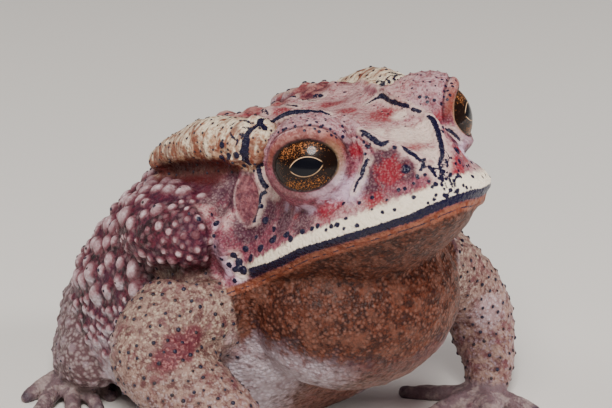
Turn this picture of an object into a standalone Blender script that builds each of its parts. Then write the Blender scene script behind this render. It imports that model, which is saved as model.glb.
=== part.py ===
"""A life-size model of an Asian common toad, sitting, in Blender units of one metre.

The toad faces -Y with its left side at +X and stands on the plane z = 0. The flesh is first
made whole from lofted forms, fused and smoothed, then given its ridges, pits and warts, and
last parted at the joints with thin cuts. Sizes are in millimetres; MM makes metres of them.
"""

import math

import bmesh
import bpy
import numpy as np
from mathutils import Euler, Matrix, Vector
from mathutils.bvhtree import BVHTree

MM = 0.001

# Driving sizes, in millimetres and degrees, for a grown toad 100 mm from snout to vent
HEAD_ORIGIN = Vector((0.0, 0.0, 35.7))
HEAD_PITCH = 14.5
HEAD_ROLL = 5.5
SNOUT_LENGTH = 27.5
JAW_HALF_WIDTH = 17.4
EYE_CENTRE = (12.5, 10.2, 9.7)
EYE_AXIS = (0.68, 0.73, 0.06)
EYE_RADIUS = 5.6
LID_OPENING = (51.0, 38.0)
JOINT_GAP = 0.3
FUSE_VOXEL = 0.55
BODY_TRIANGLES = 4300
LID_TOPS = {-1: 14.7, 1: 16.6}
GLAND_LIFTS = {-1: 0.0, 1: 2.6}

# Radius and height of the three kinds of wart
WART_SIZES = {"back": (1.55, 1.0), "flank": (1.25, 0.8), "limb": (1.0, 0.6)}

# The torso's section at one place: y, top, underside, half width, height of the widest place
TORSO = [
    (-9, 45, 24, 9, 32),
    (-3, 49, 13, 16.5, 25),
    (5, 50, 3.5, 21.5, 19),
    (13, 47.5, -0.4, 24.5, 16),
    (22, 43, -0.8, 25.0, 15),
    (32, 36, -0.8, 24, 13.5),
    (41, 27, -0.8, 20, 12),
    (49, 18.5, -0.3, 14, 10),
    (54.5, 12, 3, 8, 8),
]

# The head's section at one place, in head coordinates:
# forward, mouth height, crest half width, crest height, crown height, underside
HEAD = [
    (-16, -6.5, 9.5, 11.5, 11.5, -20),
    (-9, -6.4, 9.5, 13.2, 13.2, -17),
    (-2, -5.9, 8.8, 14.3, 14.0, -14.5),
    (5, -3.7, 7.2, 15.2, 14.3, -12),
    (12, -1.7, 5.8, 14.4, 13.0, -9.2),
    (18, -0.5, 5.2, 12.2, 11.1, -6.4),
    (22, 0.2, 4.5, 10.0, 9.2, -4.2),
    (25, 0.8, 3.4, 7.6, 7.2, -2.4),
    (26.7, 1.3, 2.2, 5.2, 5.0, -1.2),
    (27.4, 1.5, 1.0, 3.0, 3.0, -0.3),
]

# The bony ridges of the left half of the head, in head coordinates, with height and half width
RIDGES = [
    (0.5, 0.9, [(16.6, 5.0, 12.8), (18.6, 5.0, 11.7), (21.0, 4.3, 10.2), (23.4, 2.7, 8.6), (25.2, 1.4, 7.2)]),
    (0.6, 1.0, [(2.2, 8.8, 14.2), (5.6, 6.8, 15.3), (9.0, 5.8, 15.4), (13.0, 5.0, 14.3), (16.2, 5.0, 13.0)]),
    (0.5, 0.9, [(2.2, 8.8, 14.2), (1.5, 10.7, 12.8), (0.9, 11.6, 10.2), (2.2, 12.4, 7.6), (3.4, 13.0, 5.6),
                (3.2, 14.6, 3.6), (2.9, 15.6, 2.6)]),
    (0.4, 0.8, [(17.9, 6.2, 11.0), (20.1, 6.6, 9.0), (20.0, 7.9, 7.2), (19.3, 9.3, 5.4)]),
    (0.5, 0.9, [(1.6, 10.4, 12.6), (-1.2, 11.6, 12.4), (-3.0, 12.4, 12.1)]),
]
NOSTRIL = (24.5, 4.2, 7.0)
NOSTRIL_RADIUS = 0.75
TYMPANUM = (0.9, 14.3, 5.3)
TYMPANUM_RADII = (2.0, 3.4)

# The folds of the left half of the body: depth, half width and line
FOLDS = [
    (1.5, 1.0, [(24.1, 13.4, 26.4), (23.2, 9, 27.6), (22.7, 3.7, 29.3), (21, 2.5, 29.6), (19.2, 2.2, 29.6)]),
    (1.3, 1.1, [(14.5, 4.3, 43), (15.6, 4.0, 40.2), (16.5, 3.8, 38.3), (17.9, 2.9, 36), (18.8, 2.6, 33),
                (18.6, 2.7, 30.7), (18.2, 2.3, 28.9)]),
    (1.0, 1.4, [(15.6, 21, 38.6), (16, 16.8, 39.6), (16.2, 11.6, 41), (15.6, 8, 41.6), (15, 5, 42.6)]),
]

# Each limb is a row of (x, y, z, radius) from the body outwards
RIGHT_ARM = [(-14, 5, 23.5, 7.5), (-21, 5, 22.5, 7.2), (-26.6, 4.5, 19, 6.9), (-26, 0, 15.5, 6.3),
             (-23, -6, 10.5, 5.6), (-20.5, -10, 5.5, 4.3), (-20, -12, 2.6, 3.2)]
LEFT_ARM = [(15, 4, 23.5, 7.5), (22, 5, 20.5, 6.4), (28.5, 4.5, 14.5, 5.2), (30, 4, 10, 5.0),
            (29, 1, 6, 4.0), (27.5, -1, 2.6, 3.2)]
THIGH = [(8, 42, 12, 8), (14, 39, 11, 7.6), (19, 34, 9.5, 6.4), (22.3, 31, 8, 4.6)]
SHANK = [(22.3, 31, 7.5, 4.4), (20.5, 36, 6, 4.8), (17.5, 42.5, 5, 4.2), (15, 46.5, 4.2, 3.6)]
TARSUS = [(15, 46.5, 3.6, 3.3), (18, 42, 2.6, 3.0), (20.5, 38, 1.8, 2.6)]
FINGER_TIPS = [(-9.5, 8, 0, 1.6), (-13.5, -1.5, 0.6, 1.6), (-8.5, -12.5, 0.8, 1.7), (2.0, -8.5, 0.4, 1.6)]
GLAND = [(12.0, 1.6, 47.0, 2.9), (12.6, 5.2, 46.2, 3.5), (13.1, 9.4, 45.2, 3.7), (13.5, 13.7, 43.6, 3.4),
         (14.0, 18.1, 41.6, 2.8), (14.5, 22.3, 39.5, 2.0)]
LIMB_SPACES = {
    "forearm_right": [(-26.8, 2.5, 18, 7.9), (-20, -11.5, 4, 6.2)],
    "upper_arm_right": [(-18.5, 5.5, 23, 8.6), (-27.5, 4.2, 18.5, 8.6)],
    "forearm_left": [(30.2, 4.2, 11, 6.4), (28, 0, 4, 5.4)],
    "upper_arm_left": [(18.5, 4.6, 22, 8.4), (29.5, 4.5, 13, 7)],
    "shank": [(22.3, 31, 7, 5.6), (15, 46.5, 4.2, 5)],
    "thigh": [(12, 40.5, 11.5, 8.9), (22.3, 31, 8, 6)],
}
HAND_OUTLINE = [(-10.9, 10.5), (-15.5, 0), (-13.5, -19), (7.5, -15), (8.5, 4), (2.5, 8), (-3.5, 10.8)]
FOOT_OUTLINE = [(13, 51), (14.5, 44), (18.2, 37), (18.6, 29), (17.5, 26), (34, 23), (37, 42), (22, 53)]
TOE_TIPS = [(19, 31.5), (23, 28), (28, 27), (31.5, 31.5), (29.5, 38)]


def head_matrix():
    """Turns head coordinates (forward, left, up) into the toad's own frame, in millimetres."""
    pitch, roll = math.radians(HEAD_PITCH), math.radians(HEAD_ROLL)
    forward = Vector((0, -math.cos(pitch), math.sin(pitch)))
    up = Vector((0, math.sin(pitch), math.cos(pitch)))
    left = Vector((1, 0, 0))
    tilted_left = left * math.cos(roll) + up * math.sin(roll)
    tilted_up = up * math.cos(roll) - left * math.sin(roll)
    turned = Matrix((forward, tilted_left, tilted_up)).transposed()
    return Matrix.Translation(HEAD_ORIGIN) @ turned.to_4x4()


def in_metres(matrix):
    """The same placement for points given in metres."""
    out = matrix.copy()
    out.translation = matrix.translation * MM
    return out


def smooth_table(rows, count):
    """Reads a smooth curve through rows of numbers at count evenly spaced stations."""
    rows = np.array(rows, float)
    padded = np.vstack([2 * rows[0] - rows[1], rows, 2 * rows[-1] - rows[-2]])
    out = []
    for at in np.linspace(0, len(rows) - 1, count):
        i = min(int(at), len(rows) - 2)
        t = at - i
        a, b, c, d = padded[i:i + 4]
        out.append(0.5 * (2 * b + (c - a) * t + (2 * a - 5 * b + 4 * c - d) * t * t
                          + (3 * b - a - 3 * c + d) * t ** 3))
    return np.array(out)


def new_object(name, mesh):
    thing = bpy.data.objects.new(name, mesh)
    bpy.context.scene.collection.objects.link(thing)
    return thing


def object_from(bm, name="form", matrix=None):
    """Puts a finished bmesh, made in millimetres, into the scene in metres."""
    mesh = bpy.data.meshes.new(name)
    bmesh.ops.recalc_face_normals(bm, faces=bm.faces)
    bm.to_mesh(mesh)
    bm.free()
    mesh.transform(Matrix.Scale(MM, 4))
    if matrix is not None:
        mesh.transform(in_metres(matrix))
    return new_object(name, mesh)


def closed_loft(rings):
    """A closed mesh through rings of points, each end closed by a fan."""
    bm = bmesh.new()
    loops = [[bm.verts.new(Vector(p)) for p in ring] for ring in rings]
    count = len(loops[0])
    for low, high in zip(loops, loops[1:]):
        for i in range(count):
            j = (i + 1) % count
            bm.faces.new((low[i], low[j], high[j], high[i]))
    for loop in (loops[0], loops[-1]):
        hub = bm.verts.new(sum((v.co for v in loop), Vector()) / count)
        for i in range(count):
            bm.faces.new((loop[i], loop[(i + 1) % count], hub))
    return bm


def ellipsoid(centre, radii, matrix=None, turn=(0, 0, 0), segments=32, rings=20):
    """An egg shape about a centre, first turned by angles about X, Y and Z."""
    bm = bmesh.new()
    bmesh.ops.create_uvsphere(bm, u_segments=segments, v_segments=rings, radius=1.0)
    bmesh.ops.transform(bm, matrix=Matrix.Diagonal((*radii, 1)), verts=bm.verts)
    turned = Euler([math.radians(a) for a in turn]).to_matrix().to_4x4()
    bmesh.ops.transform(bm, matrix=Matrix.Translation(Vector(centre)) @ turned, verts=bm.verts)
    return object_from(bm, matrix=matrix)


def limb(rows, swell=0.0, sides=14, steps=5):
    """A tapered tube with round ends through rows of (x, y, z, radius)."""
    table = smooth_table(rows, (len(rows) - 1) * steps + 1)
    points, radii = table[:, :3], np.maximum(table[:, 3], 0.3) + swell
    ways = np.gradient(points, axis=0)
    ways /= np.linalg.norm(ways, axis=1)[:, None]
    rings = []

    def ring(centre, way, radius):
        side = np.cross(way, (0, 0, 1.0))
        side /= np.linalg.norm(side)
        lift = np.cross(side, way)
        return [centre + radius * (math.cos(a) * side + math.sin(a) * lift)
                for a in np.linspace(0, 2 * math.pi, sides, endpoint=False)]

    for angle in (80, 55, 30):
        sine, cosine = math.sin(math.radians(angle)), math.cos(math.radians(angle))
        rings.append(ring(points[0] - ways[0] * sine * radii[0], ways[0], radii[0] * cosine))
    for centre, way, radius in zip(points, ways, radii):
        rings.append(ring(centre, way, radius))
    for angle in (30, 55, 80):
        sine, cosine = math.sin(math.radians(angle)), math.cos(math.radians(angle))
        rings.append(ring(points[-1] + ways[-1] * sine * radii[-1], ways[-1], radii[-1] * cosine))
    return object_from(closed_loft(rings))


def mirrored(rows, side):
    return [(side * x, *rest) for x, *rest in rows]


def torso_ring(row, angles):
    """Points of the torso's outline at one row of its table."""
    y, top, under, half, waist = row
    ring = []
    for angle in angles:
        c, s = math.cos(angle), math.sin(angle)
        power = 1.0 if s > 0 else 0.72
        reach = (top - waist) if s > 0 else (waist - under)
        across = half * math.copysign(abs(c) ** power, c)
        ring.append((across, y, waist + math.copysign(abs(s) ** 0.95, s) * reach))
    return ring


def torso_form():
    angles = np.linspace(0, 2 * math.pi, 36, endpoint=False)
    return object_from(closed_loft([torso_ring(row, angles) for row in smooth_table(TORSO, 28)]))


def jaw_half_width(forward):
    """Half the width of the mouth, seen from above, at a place along the head."""
    if forward < 0:
        return JAW_HALF_WIDTH - 0.012 * forward * forward
    return JAW_HALF_WIDTH * max(1 - (forward / SNOUT_LENGTH) ** 2.15, 0.0) ** 0.5


def mouth_height(forward):
    rows = np.array(HEAD)
    return float(np.interp(forward, rows[:, 0], rows[:, 1]))


def head_form():
    rings = []
    for forward, mouth, crest, height, crown, under in smooth_table(HEAD, 26):
        wide = jaw_half_width(forward)
        crest = min(crest, wide * 0.7)
        half = [
            (crest * 0.5, crown + 0.1),
            (crest, height),
            (crest + 0.30 * (wide - crest), height - 0.30 * (height - mouth)),
            (crest + 0.62 * (wide - crest), height - 0.62 * (height - mouth)),
            (wide - 0.5, mouth + 2.3),
            (wide, mouth + 0.9),
            (wide - 0.2, mouth + 0.1),
            (wide - 1.3, mouth - 0.4),
            (wide - 1.6, mouth - 1.4),
            (wide * 0.80 - 1.2, mouth + 0.42 * (under - mouth)),
            (wide * 0.45, mouth + 0.85 * (under - mouth)),
        ]
        half = [(max(l, 0.05), u) for l, u in half]
        ring = [(forward, 0, crown)] + [(forward, l, u) for l, u in half] + [(forward, 0, under)]
        ring += [(forward, -l, u) for l, u in reversed(half)]
        rings.append(ring)
    return object_from(closed_loft(rings), matrix=head_matrix())


def hand_forms(side, wrist):
    x, y = wrist
    forms = [ellipsoid((x - side * 2.5, y - 1, 1.2), (4.6, 4.6, 1.8))]
    for tip_x, tip_y, bend, root in FINGER_TIPS:
        start = Vector((x - side * 1.5, y - 0.5, 1.3))
        tip = Vector((x + side * tip_x, y + tip_y, 0.7))
        mid = (start + tip) / 2 + Vector((0, 0, bend))
        forms.append(limb([(*start, root + 0.2), (*mid, root - 0.25), (*tip, root - 0.5)], sides=10))
    return forms


def foot_forms(side):
    forms = [limb(mirrored(TARSUS, side))]
    for tip_x, tip_y in TOE_TIPS:
        start = Vector((side * 21.0, 39.5, 1.5))
        tip = Vector((side * tip_x, tip_y, 0.7))
        mid = (start + tip) / 2 + Vector((0, 0, 0.7))
        forms.append(limb([(*start, 1.8), (*mid, 1.4), (*tip, 1.1)], sides=10))
    return forms


def gland_rows(side):
    return [(side * x, y, z + GLAND_LIFTS[side], radius) for x, y, z, radius in GLAND]


def flesh_forms():
    head = head_matrix()
    f, l, u = EYE_CENTRE
    forms = [torso_form(), head_form(), ellipsoid((0, -4.5, 23.5), (15.8, 12.8, 12.5))]
    for side in (-1, 1):
        forms.append(ellipsoid((f, side * l, u), (6.5, 6.3, 6.4), head))
        forms.append(ellipsoid((f - 0.4, side * (l - 0.4), LID_TOPS[side] - 5.4), (6.8, 6.2, 5.4), head))
        forms.append(ellipsoid((-2.6, side * 17.0, -2.8), (3.2, 1.8, 4.0), head))
        forms.append(limb(gland_rows(side)))
        lift = 0.8 * GLAND_LIFTS[side]
        forms.append(ellipsoid((side * 8.0, 11.0, 42.6 + lift), (7.5, 13.0, 5.0), turn=(-14, side * 10, 0)))
        forms.append(ellipsoid((side * 14.5, 12.0, 32.5), (10.8, 14.0, 6.6), turn=(-8, 0, 0)))
        forms.append(limb(mirrored(THIGH, side)))
        forms.append(limb(mirrored(SHANK, side)))
        forms += foot_forms(side)
    forms += [limb(RIGHT_ARM), limb(LEFT_ARM)]
    forms += hand_forms(-1, RIGHT_ARM[-1][:2])
    forms += hand_forms(1, LEFT_ARM[-1][:2])
    return forms


def joined(forms, name):
    """One object holding the meshes of several, which are removed."""
    bm = bmesh.new()
    for form in forms:
        bm.from_mesh(form.data)
        mesh = form.data
        bpy.data.objects.remove(form)
        bpy.data.meshes.remove(mesh)
    mesh = bpy.data.meshes.new(name)
    bm.to_mesh(mesh)
    bm.free()
    return new_object(name, mesh)


def apply_modifiers(thing):
    """Turns an object's modifiers into its own mesh."""
    graph = bpy.context.evaluated_depsgraph_get()
    mesh = bpy.data.meshes.new_from_object(thing.evaluated_get(graph))
    thing.modifiers.clear()
    thing.data = mesh
    return thing


def fuse(forms, voxel, rounds):
    """Melts overlapping forms into one even skin."""
    flesh = joined(forms, "flesh")
    remesh = flesh.modifiers.new("fuse", "REMESH")
    remesh.mode = "VOXEL"
    remesh.voxel_size = voxel * MM
    smooth = flesh.modifiers.new("smooth", "SMOOTH")
    smooth.factor = 0.5
    smooth.iterations = rounds
    return apply_modifiers(flesh)


def mesh_points(mesh):
    """Places and normals of a mesh's points, in millimetres."""
    places = np.empty(len(mesh.vertices) * 3)
    mesh.vertices.foreach_get("co", places)
    normals = np.empty(len(mesh.vertices) * 3)
    mesh.vertex_normals.foreach_get("vector", normals)
    return places.reshape(-1, 3) / MM, normals.reshape(-1, 3)


def line_distance(points, line):
    """Distance of every point from a line of straight parts."""
    best = np.full(len(points), 1e9)
    line = np.array(line, float)
    for start, end in zip(line, line[1:]):
        way = end - start
        t = np.clip((points - start) @ way / (way @ way), 0, 1)
        best = np.minimum(best, np.linalg.norm(points - start - t[:, None] * way, axis=1))
    return best


def laid_on(tree, line, to_frame=None):
    """Places and directions on the skin, in millimetres, next to the points of a line."""
    out = []
    for point in line:
        point = Vector(point) if to_frame is None else to_frame @ Vector(point)
        place, normal = tree.find_nearest(point * MM)[:2]
        out.append((place / MM, normal))
    return out


def skin_tree(flesh):
    return BVHTree.FromObject(flesh, bpy.context.evaluated_depsgraph_get())


def sided(point, side):
    return (point[0], side * point[1], point[2])


def shape_skin(flesh):
    """Raises the crests of the head and sinks the folds of the body."""
    mesh = flesh.data
    tree = skin_tree(flesh)
    places, normals = mesh_points(mesh)
    lift = np.zeros(len(places))
    sink = np.zeros(len(places))
    for side in (-1, 1):
        for height, width, line in RIDGES:
            smooth = smooth_table([sided(point, side) for point in line], len(line) * 3)
            laid = [place for place, _ in laid_on(tree, smooth, head_matrix())]
            lift = np.maximum(lift, height * np.exp(-(line_distance(places, laid) / width) ** 2))
        for depth, width, line in FOLDS:
            smooth = smooth_table([(side * x, y, z) for x, y, z in line], len(line) * 3)
            laid = [place for place, _ in laid_on(tree, smooth)]
            sink = np.maximum(sink, depth * np.exp(-(line_distance(places, laid) / width) ** 2))
    moved = (places + normals * (lift - sink)[:, None]) * MM
    mesh.vertices.foreach_set("co", moved.ravel())
    mesh.update()


def directions(normal):
    """Two directions square to a normal and to each other."""
    across = normal.orthogonal().normalized()
    return across, normal.cross(across)


def strip(laid, radii, sides=6):
    """A raised roll along places on the skin, thin at both ends."""
    rings = []
    for i, (place, normal) in enumerate(laid):
        way = (laid[min(i + 1, len(laid) - 1)][0] - laid[max(i - 1, 0)][0]).normalized()
        aside = way.cross(normal).normalized()
        rings.append([place + (aside * math.cos(a) + normal * math.sin(a)) * radii[i]
                      for a in np.linspace(0, 2 * math.pi, sides, endpoint=False)])
    return object_from(closed_loft(rings))


def wart(place, normal, radius, height, sides=5):
    """A low dome whose foot is set into the skin."""
    across, beyond = directions(normal)
    rings = []
    for reach, level in ((1.0, -0.6), (0.78, height * 0.5)):
        rings.append([place + normal * level + (across * math.cos(a) + beyond * math.sin(a)) * radius * reach
                      for a in np.linspace(0, 2 * math.pi, sides, endpoint=False)])
    bm = closed_loft(rings)
    bm.verts.ensure_lookup_table()
    bm.verts[-1].co += normal * height * 0.5
    return object_from(bm)


def ear_disc(place, normal, side):
    """The eardrum, a low oval disc with a flat face."""
    head = head_matrix().to_3x3()
    beyond = (head @ Vector((0.25, 0, 1))).normalized()
    beyond = (beyond - normal * beyond.dot(normal)).normalized()
    across = beyond.cross(normal)
    rings = []
    for reach, level in ((1.0, -0.7), (1.0, 0.15), (0.86, 0.42), (0.72, 0.2)):
        rings.append([place + normal * level + across * math.cos(a) * TYMPANUM_RADII[0] * reach
                      + beyond * math.sin(a) * TYMPANUM_RADII[1] * reach
                      for a in np.linspace(0, 2 * math.pi, 14, endpoint=False)])
    return object_from(closed_loft(rings))


def lid_roll(side):
    """The thick edge of the upper lid, a roll round the upper half of the opening."""
    centre = Vector(sided(EYE_CENTRE, side))
    axis = eye_direction(side)
    across = Vector((0, 0, 1)).cross(axis).normalized()
    lift = axis.cross(across)
    laid = []
    radii = []
    for angle in np.linspace(-0.12 * math.pi, 1.12 * math.pi, 13):
        wide = math.radians(LID_OPENING[0] + 4) * math.cos(angle)
        high = math.radians(LID_OPENING[1] + 5) * math.sin(angle)
        spread = math.hypot(wide, high)
        way = (across * wide + lift * high) / spread
        out = axis * math.cos(spread) + way * math.sin(spread)
        place = centre + out * (EYE_RADIUS + 0.75)
        laid.append((head_matrix() @ place, head_matrix().to_3x3() @ out))
        radii.append(0.35 + 0.6 * max(math.sin(angle), 0) ** 0.7)
    return strip(laid, radii)


def wart_places(tree):
    """Seeded places for the warts: (place in millimetres, normal, kind)."""
    rng = np.random.default_rng(11)
    rows = smooth_table(TORSO, 60)
    found = []

    def try_at(point, kind, room):
        place, normal = tree.find_nearest(Vector(point) * MM)[:2]
        place = place / MM
        if place.z < 4.5 or normal.z < -0.35:
            return
        if (head_matrix().inverted() @ place).x > -5.5:
            return
        if all((place - other[0]).length > room for other in found):
            found.append((place, normal, kind))

    for _ in range(1500):
        row = rows[rng.integers(14, 58)]
        angle = rng.uniform(-0.1, math.pi + 0.1)
        point = Vector(torso_ring(row, [angle])[0])
        gland = min((point - Vector((x, y, z))).length for side in (-1, 1) for x, y, z, _ in gland_rows(side))
        if gland < 5.2 or point.z < 44 and row[0] < 4 and abs(point[0]) < 20:
            continue
        flank = abs(math.cos(angle)) > 0.7
        try_at(point, "flank" if flank else "back", 4.6 if flank else 5.2)
    for side in (-1, 1):
        for rows_of in (THIGH, SHANK):
            table = smooth_table(mirrored(rows_of, side), 30)
            for _ in range(50):
                x, y, z, radius = table[rng.integers(4, 28)]
                angle = rng.uniform(0, math.pi)
                outward = Vector((side * abs(math.cos(angle)), 0.3 * math.cos(angle), math.sin(angle)))
                try_at(Vector((x, y, z)) + outward * radius, "limb", 4.4)
    for side, rows_of in ((-1, RIGHT_ARM), (1, LEFT_ARM)):
        table = smooth_table(rows_of, 40)
        for _ in range(50):
            x, y, z, radius = table[rng.integers(12, 34)]
            angle = rng.uniform(0, math.pi)
            outward = Vector((side * abs(math.cos(angle)), -0.5 * math.sin(angle), math.sin(angle)))
            try_at(Vector((x, y, z)) + outward * radius, "limb", 4.8)
    return found


def add_features(flesh):
    """Joins the crests, lid edges, eardrums and warts to the flesh in one union."""
    tree = skin_tree(flesh)
    features = []
    for side in (-1, 1):
        for height, width, line in RIDGES:
            laid = laid_on(tree, [sided(point, side) for point in line], head_matrix())
            radii = [0.7 * width] * len(laid)
            radii[0] = radii[-1] = 0.35
            features.append(strip(laid, radii))
        place, normal = laid_on(tree, [sided(TYMPANUM, side)], head_matrix())[0]
        features.append(ear_disc(place, normal, side))
        features.append(lid_roll(side))
    for place, normal, kind in wart_places(tree):
        features.append(wart(place, normal, *WART_SIZES[kind]))
    collection = bpy.data.collections.new("features")
    for feature in features:
        collection.objects.link(feature)
    union = flesh.modifiers.new("features", "BOOLEAN")
    union.operation = "UNION"
    union.operand_type = "COLLECTION"
    union.collection = collection
    union.solver = "MANIFOLD"
    apply_modifiers(flesh)
    for feature in features:
        bpy.data.objects.remove(feature)
    bpy.data.collections.remove(collection)


def pierce_nostrils(flesh):
    tree = skin_tree(flesh)
    for side in (-1, 1):
        place, normal = laid_on(tree, [sided(NOSTRIL, side)], head_matrix())[0]
        pit = ellipsoid(place + normal * 0.1, [NOSTRIL_RADIUS] * 3, segments=10, rings=6)
        boolean(flesh, pit, "DIFFERENCE")
        bpy.data.objects.remove(pit)


def thin_out(flesh, triangles):
    """Lowers the triangle count, keeping the head finer than the rest."""
    places = mesh_points(flesh.data)[0]
    back = np.array(head_matrix().inverted())
    local = places @ back[:3, :3].T + back[:3, 3]
    group = flesh.vertex_groups.new(name="coarse")
    head = (local[:, 0] > -3) & (local[:, 2] > -6)
    digits = (places[:, 2] < 5) & (abs(places[:, 0]) > 13)
    group.add(np.nonzero(~head & ~digits)[0].tolist(), 1.0, "REPLACE")
    group.add(np.nonzero(head)[0].tolist(), 0.96, "REPLACE")
    group.add(np.nonzero(digits)[0].tolist(), 0.92, "REPLACE")
    faces = len(flesh.data.polygons) * 2
    thin = flesh.modifiers.new("thin", "DECIMATE")
    thin.ratio = triangles / faces
    thin.vertex_group = "coarse"
    thin.vertex_group_factor = 1.0
    apply_modifiers(flesh)
    flesh.vertex_groups.clear()


def cut_flat_below(flesh):
    """Takes away what lies under the floor and closes the cut with flat rests."""
    bm = bmesh.new()
    bm.from_mesh(flesh.data)
    geometry = bm.verts[:] + bm.edges[:] + bm.faces[:]
    cut = bmesh.ops.bisect_plane(bm, geom=geometry, dist=1e-6, plane_co=(0, 0, 0), plane_no=(0, 0, -1),
                                 clear_outer=True)
    edges = [e for e in cut["geom_cut"] if isinstance(e, bmesh.types.BMEdge)]
    bmesh.ops.holes_fill(bm, edges=edges, sides=0)
    bmesh.ops.triangulate(bm, faces=[f for f in bm.faces if len(f.verts) > 4])
    bm.to_mesh(flesh.data)
    bm.free()


def boolean(thing, cutter, operation):
    """Applies one Boolean to a thing; the cutter is left as it is."""
    cut = thing.modifiers.new("cut", "BOOLEAN")
    cut.operation = operation
    cut.object = cutter
    cut.solver = "MANIFOLD"
    apply_modifiers(thing)


def keep_largest(thing):
    """Removes every loose crumb but the largest closed surface."""
    bm = bmesh.new()
    bm.from_mesh(thing.data)
    bm.verts.ensure_lookup_table()
    unseen = set(bm.verts)
    islands = []
    while unseen:
        island, edge = set(), [unseen.pop()]
        while edge:
            vert = edge.pop()
            island.add(vert)
            for e in vert.link_edges:
                other = e.other_vert(vert)
                if other in unseen:
                    unseen.discard(other)
                    edge.append(other)
        islands.append(island)
    islands.sort(key=len, reverse=True)
    crumbs = [v for island in islands[1:] for v in island]
    bmesh.ops.delete(bm, geom=crumbs, context="VERTS")
    bm.to_mesh(thing.data)
    bm.free()
    return [len(island) for island in islands]


def clean(thing):
    """Makes every face a triangle that faces out, and takes away pairs back to back on one triangle."""
    bm = bmesh.new()
    bm.from_mesh(thing.data)
    bmesh.ops.triangulate(bm, faces=bm.faces)
    on_corners = {}
    for face in bm.faces:
        on_corners.setdefault(frozenset(face.verts), []).append(face)
    pairs = [face for faces in on_corners.values() if len(faces) == 2 for face in faces]
    bmesh.ops.delete(bm, geom=pairs, context="FACES")
    bmesh.ops.recalc_face_normals(bm, faces=bm.faces)
    bm.to_mesh(thing.data)
    bm.free()


def box(low, high, matrix=None):
    bm = bmesh.new()
    bmesh.ops.create_cube(bm, size=1.0)
    low, high = Vector(low), Vector(high)
    for vert in bm.verts:
        vert.co = Vector(low[i] if vert.co[i] < 0 else high[i] for i in range(3))
    return object_from(bm, matrix=matrix)


def eye_direction(side):
    f, l, u = EYE_AXIS
    return Vector((f, side * l, u)).normalized()


def lid_cutter(side):
    """The space of the eyeball and of the opening between its lids, in head coordinates."""
    centre = Vector((EYE_CENTRE[0], side * EYE_CENTRE[1], EYE_CENTRE[2]))
    axis = eye_direction(side)
    across = Vector((0, 0, 1)).cross(axis).normalized()
    lift = axis.cross(across)
    rings = []
    for reach in (1.0, EYE_RADIUS + 4.5):
        ring = []
        for angle in np.linspace(0, 2 * math.pi, 24, endpoint=False):
            wide = math.radians(LID_OPENING[0]) * math.cos(angle)
            high = math.radians(LID_OPENING[1]) * math.sin(angle)
            spread = math.hypot(wide, high)
            way = (across * wide + lift * high) / spread
            ring.append(centre + (axis * math.cos(spread) + way * math.sin(spread)) * reach)
        rings.append(ring)
    opening = object_from(closed_loft(rings), matrix=head_matrix())
    ball = ellipsoid(centre, [EYE_RADIUS + JOINT_GAP] * 3, head_matrix(), segments=20, rings=12)
    boolean(opening, ball, "UNION")
    bpy.data.objects.remove(ball)
    return opening


def jaw_volume(swell):
    """All that lies under the line of the mouth, as far back as the jaw's corner."""
    back, front = -4.0 - swell, 32.0
    top = [(f, mouth_height(f) - 0.45 + swell) for f in np.linspace(back, front, 14)]
    rings = []
    for side in (-40, 40):
        ring = [(f, side, u) for f, u in top]
        ring += [(front, side, -17.0 - swell), (back, side, -17.0 - swell)]
        rings.append(ring)
    return object_from(closed_loft(rings), matrix=head_matrix())


def gland_volume(side, swell):
    return limb(gland_rows(side), 1.3 + swell, sides=14, steps=1)


def prism(outline, low, high):
    """A flat-sided block over an outline of (x, y) points."""
    return object_from(closed_loft([[(x, y, z) for x, y in outline] for z in (low, high)]))


def spread(outline, width):
    """An outline of (x, y) points moved outwards from its middle."""
    middle = Vector((sum(x for x, _ in outline), sum(y for _, y in outline))) / len(outline)
    out = []
    for x, y in outline:
        way = Vector((x, y)) - middle
        out.append(tuple(middle + way * (1 + 1.3 * width / way.length)))
    return out


def hand_volume(side, wrist, swell):
    outline = [(wrist[0] + side * x, wrist[1] + y) for x, y in HAND_OUTLINE]
    return prism(spread(outline, swell), -2, 3.9 + swell)


def foot_volume(side, swell):
    outline = [(side * x, y) for x, y in FOOT_OUTLINE]
    return prism(spread(outline, swell), -2, 3.45 + swell)


def node_volumes():
    """Name and maker of each node's own space, in the order in which they are parted off.

    Each maker takes the width to add all round, so that a joint gap can be left behind.
    """
    nodes = []
    for side, word, wrist in ((-1, "right", RIGHT_ARM[-1]), (1, "left", LEFT_ARM[-1])):
        nodes.append((f"hand_{word}", lambda s, side=side, wrist=wrist: hand_volume(side, wrist, s)))
        for part in ("forearm", "upper_arm"):
            rows = LIMB_SPACES[f"{part}_{word}"]
            nodes.append((f"{part}_{word}", lambda s, rows=rows: limb(rows, s, sides=12, steps=1)))
    nodes.append(("lower_jaw", jaw_volume))
    nodes.append(("head", lambda s: box((-4.6 - s, -19.6 - s, -10), (40, 19.6 + s, 40), head_matrix())))
    for side, word in ((-1, "right"), (1, "left")):
        nodes.append((f"parotoid_{word}", lambda s, side=side: gland_volume(side, s)))
        nodes.append((f"foot_{word}", lambda s, side=side: foot_volume(side, s)))
        for part in ("shank", "thigh"):
            rows = mirrored(LIMB_SPACES[part], side)
            nodes.append((f"{part}_{word}", lambda s, rows=rows: limb(rows, s, sides=12, steps=1)))
    return nodes


SKIN_COLOURS = {
    "head": (0.50, 0.33, 0.28), "lower_jaw": (0.46, 0.32, 0.22), "torso": (0.42, 0.26, 0.25),
    "parotoid": (0.62, 0.52, 0.44), "upper_arm": (0.60, 0.50, 0.44), "forearm": (0.60, 0.50, 0.45),
    "hand": (0.60, 0.52, 0.46), "thigh": (0.50, 0.38, 0.34), "shank": (0.56, 0.47, 0.41),
    "foot": (0.56, 0.48, 0.42), "eye": (0.05, 0.03, 0.02),
}


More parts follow.
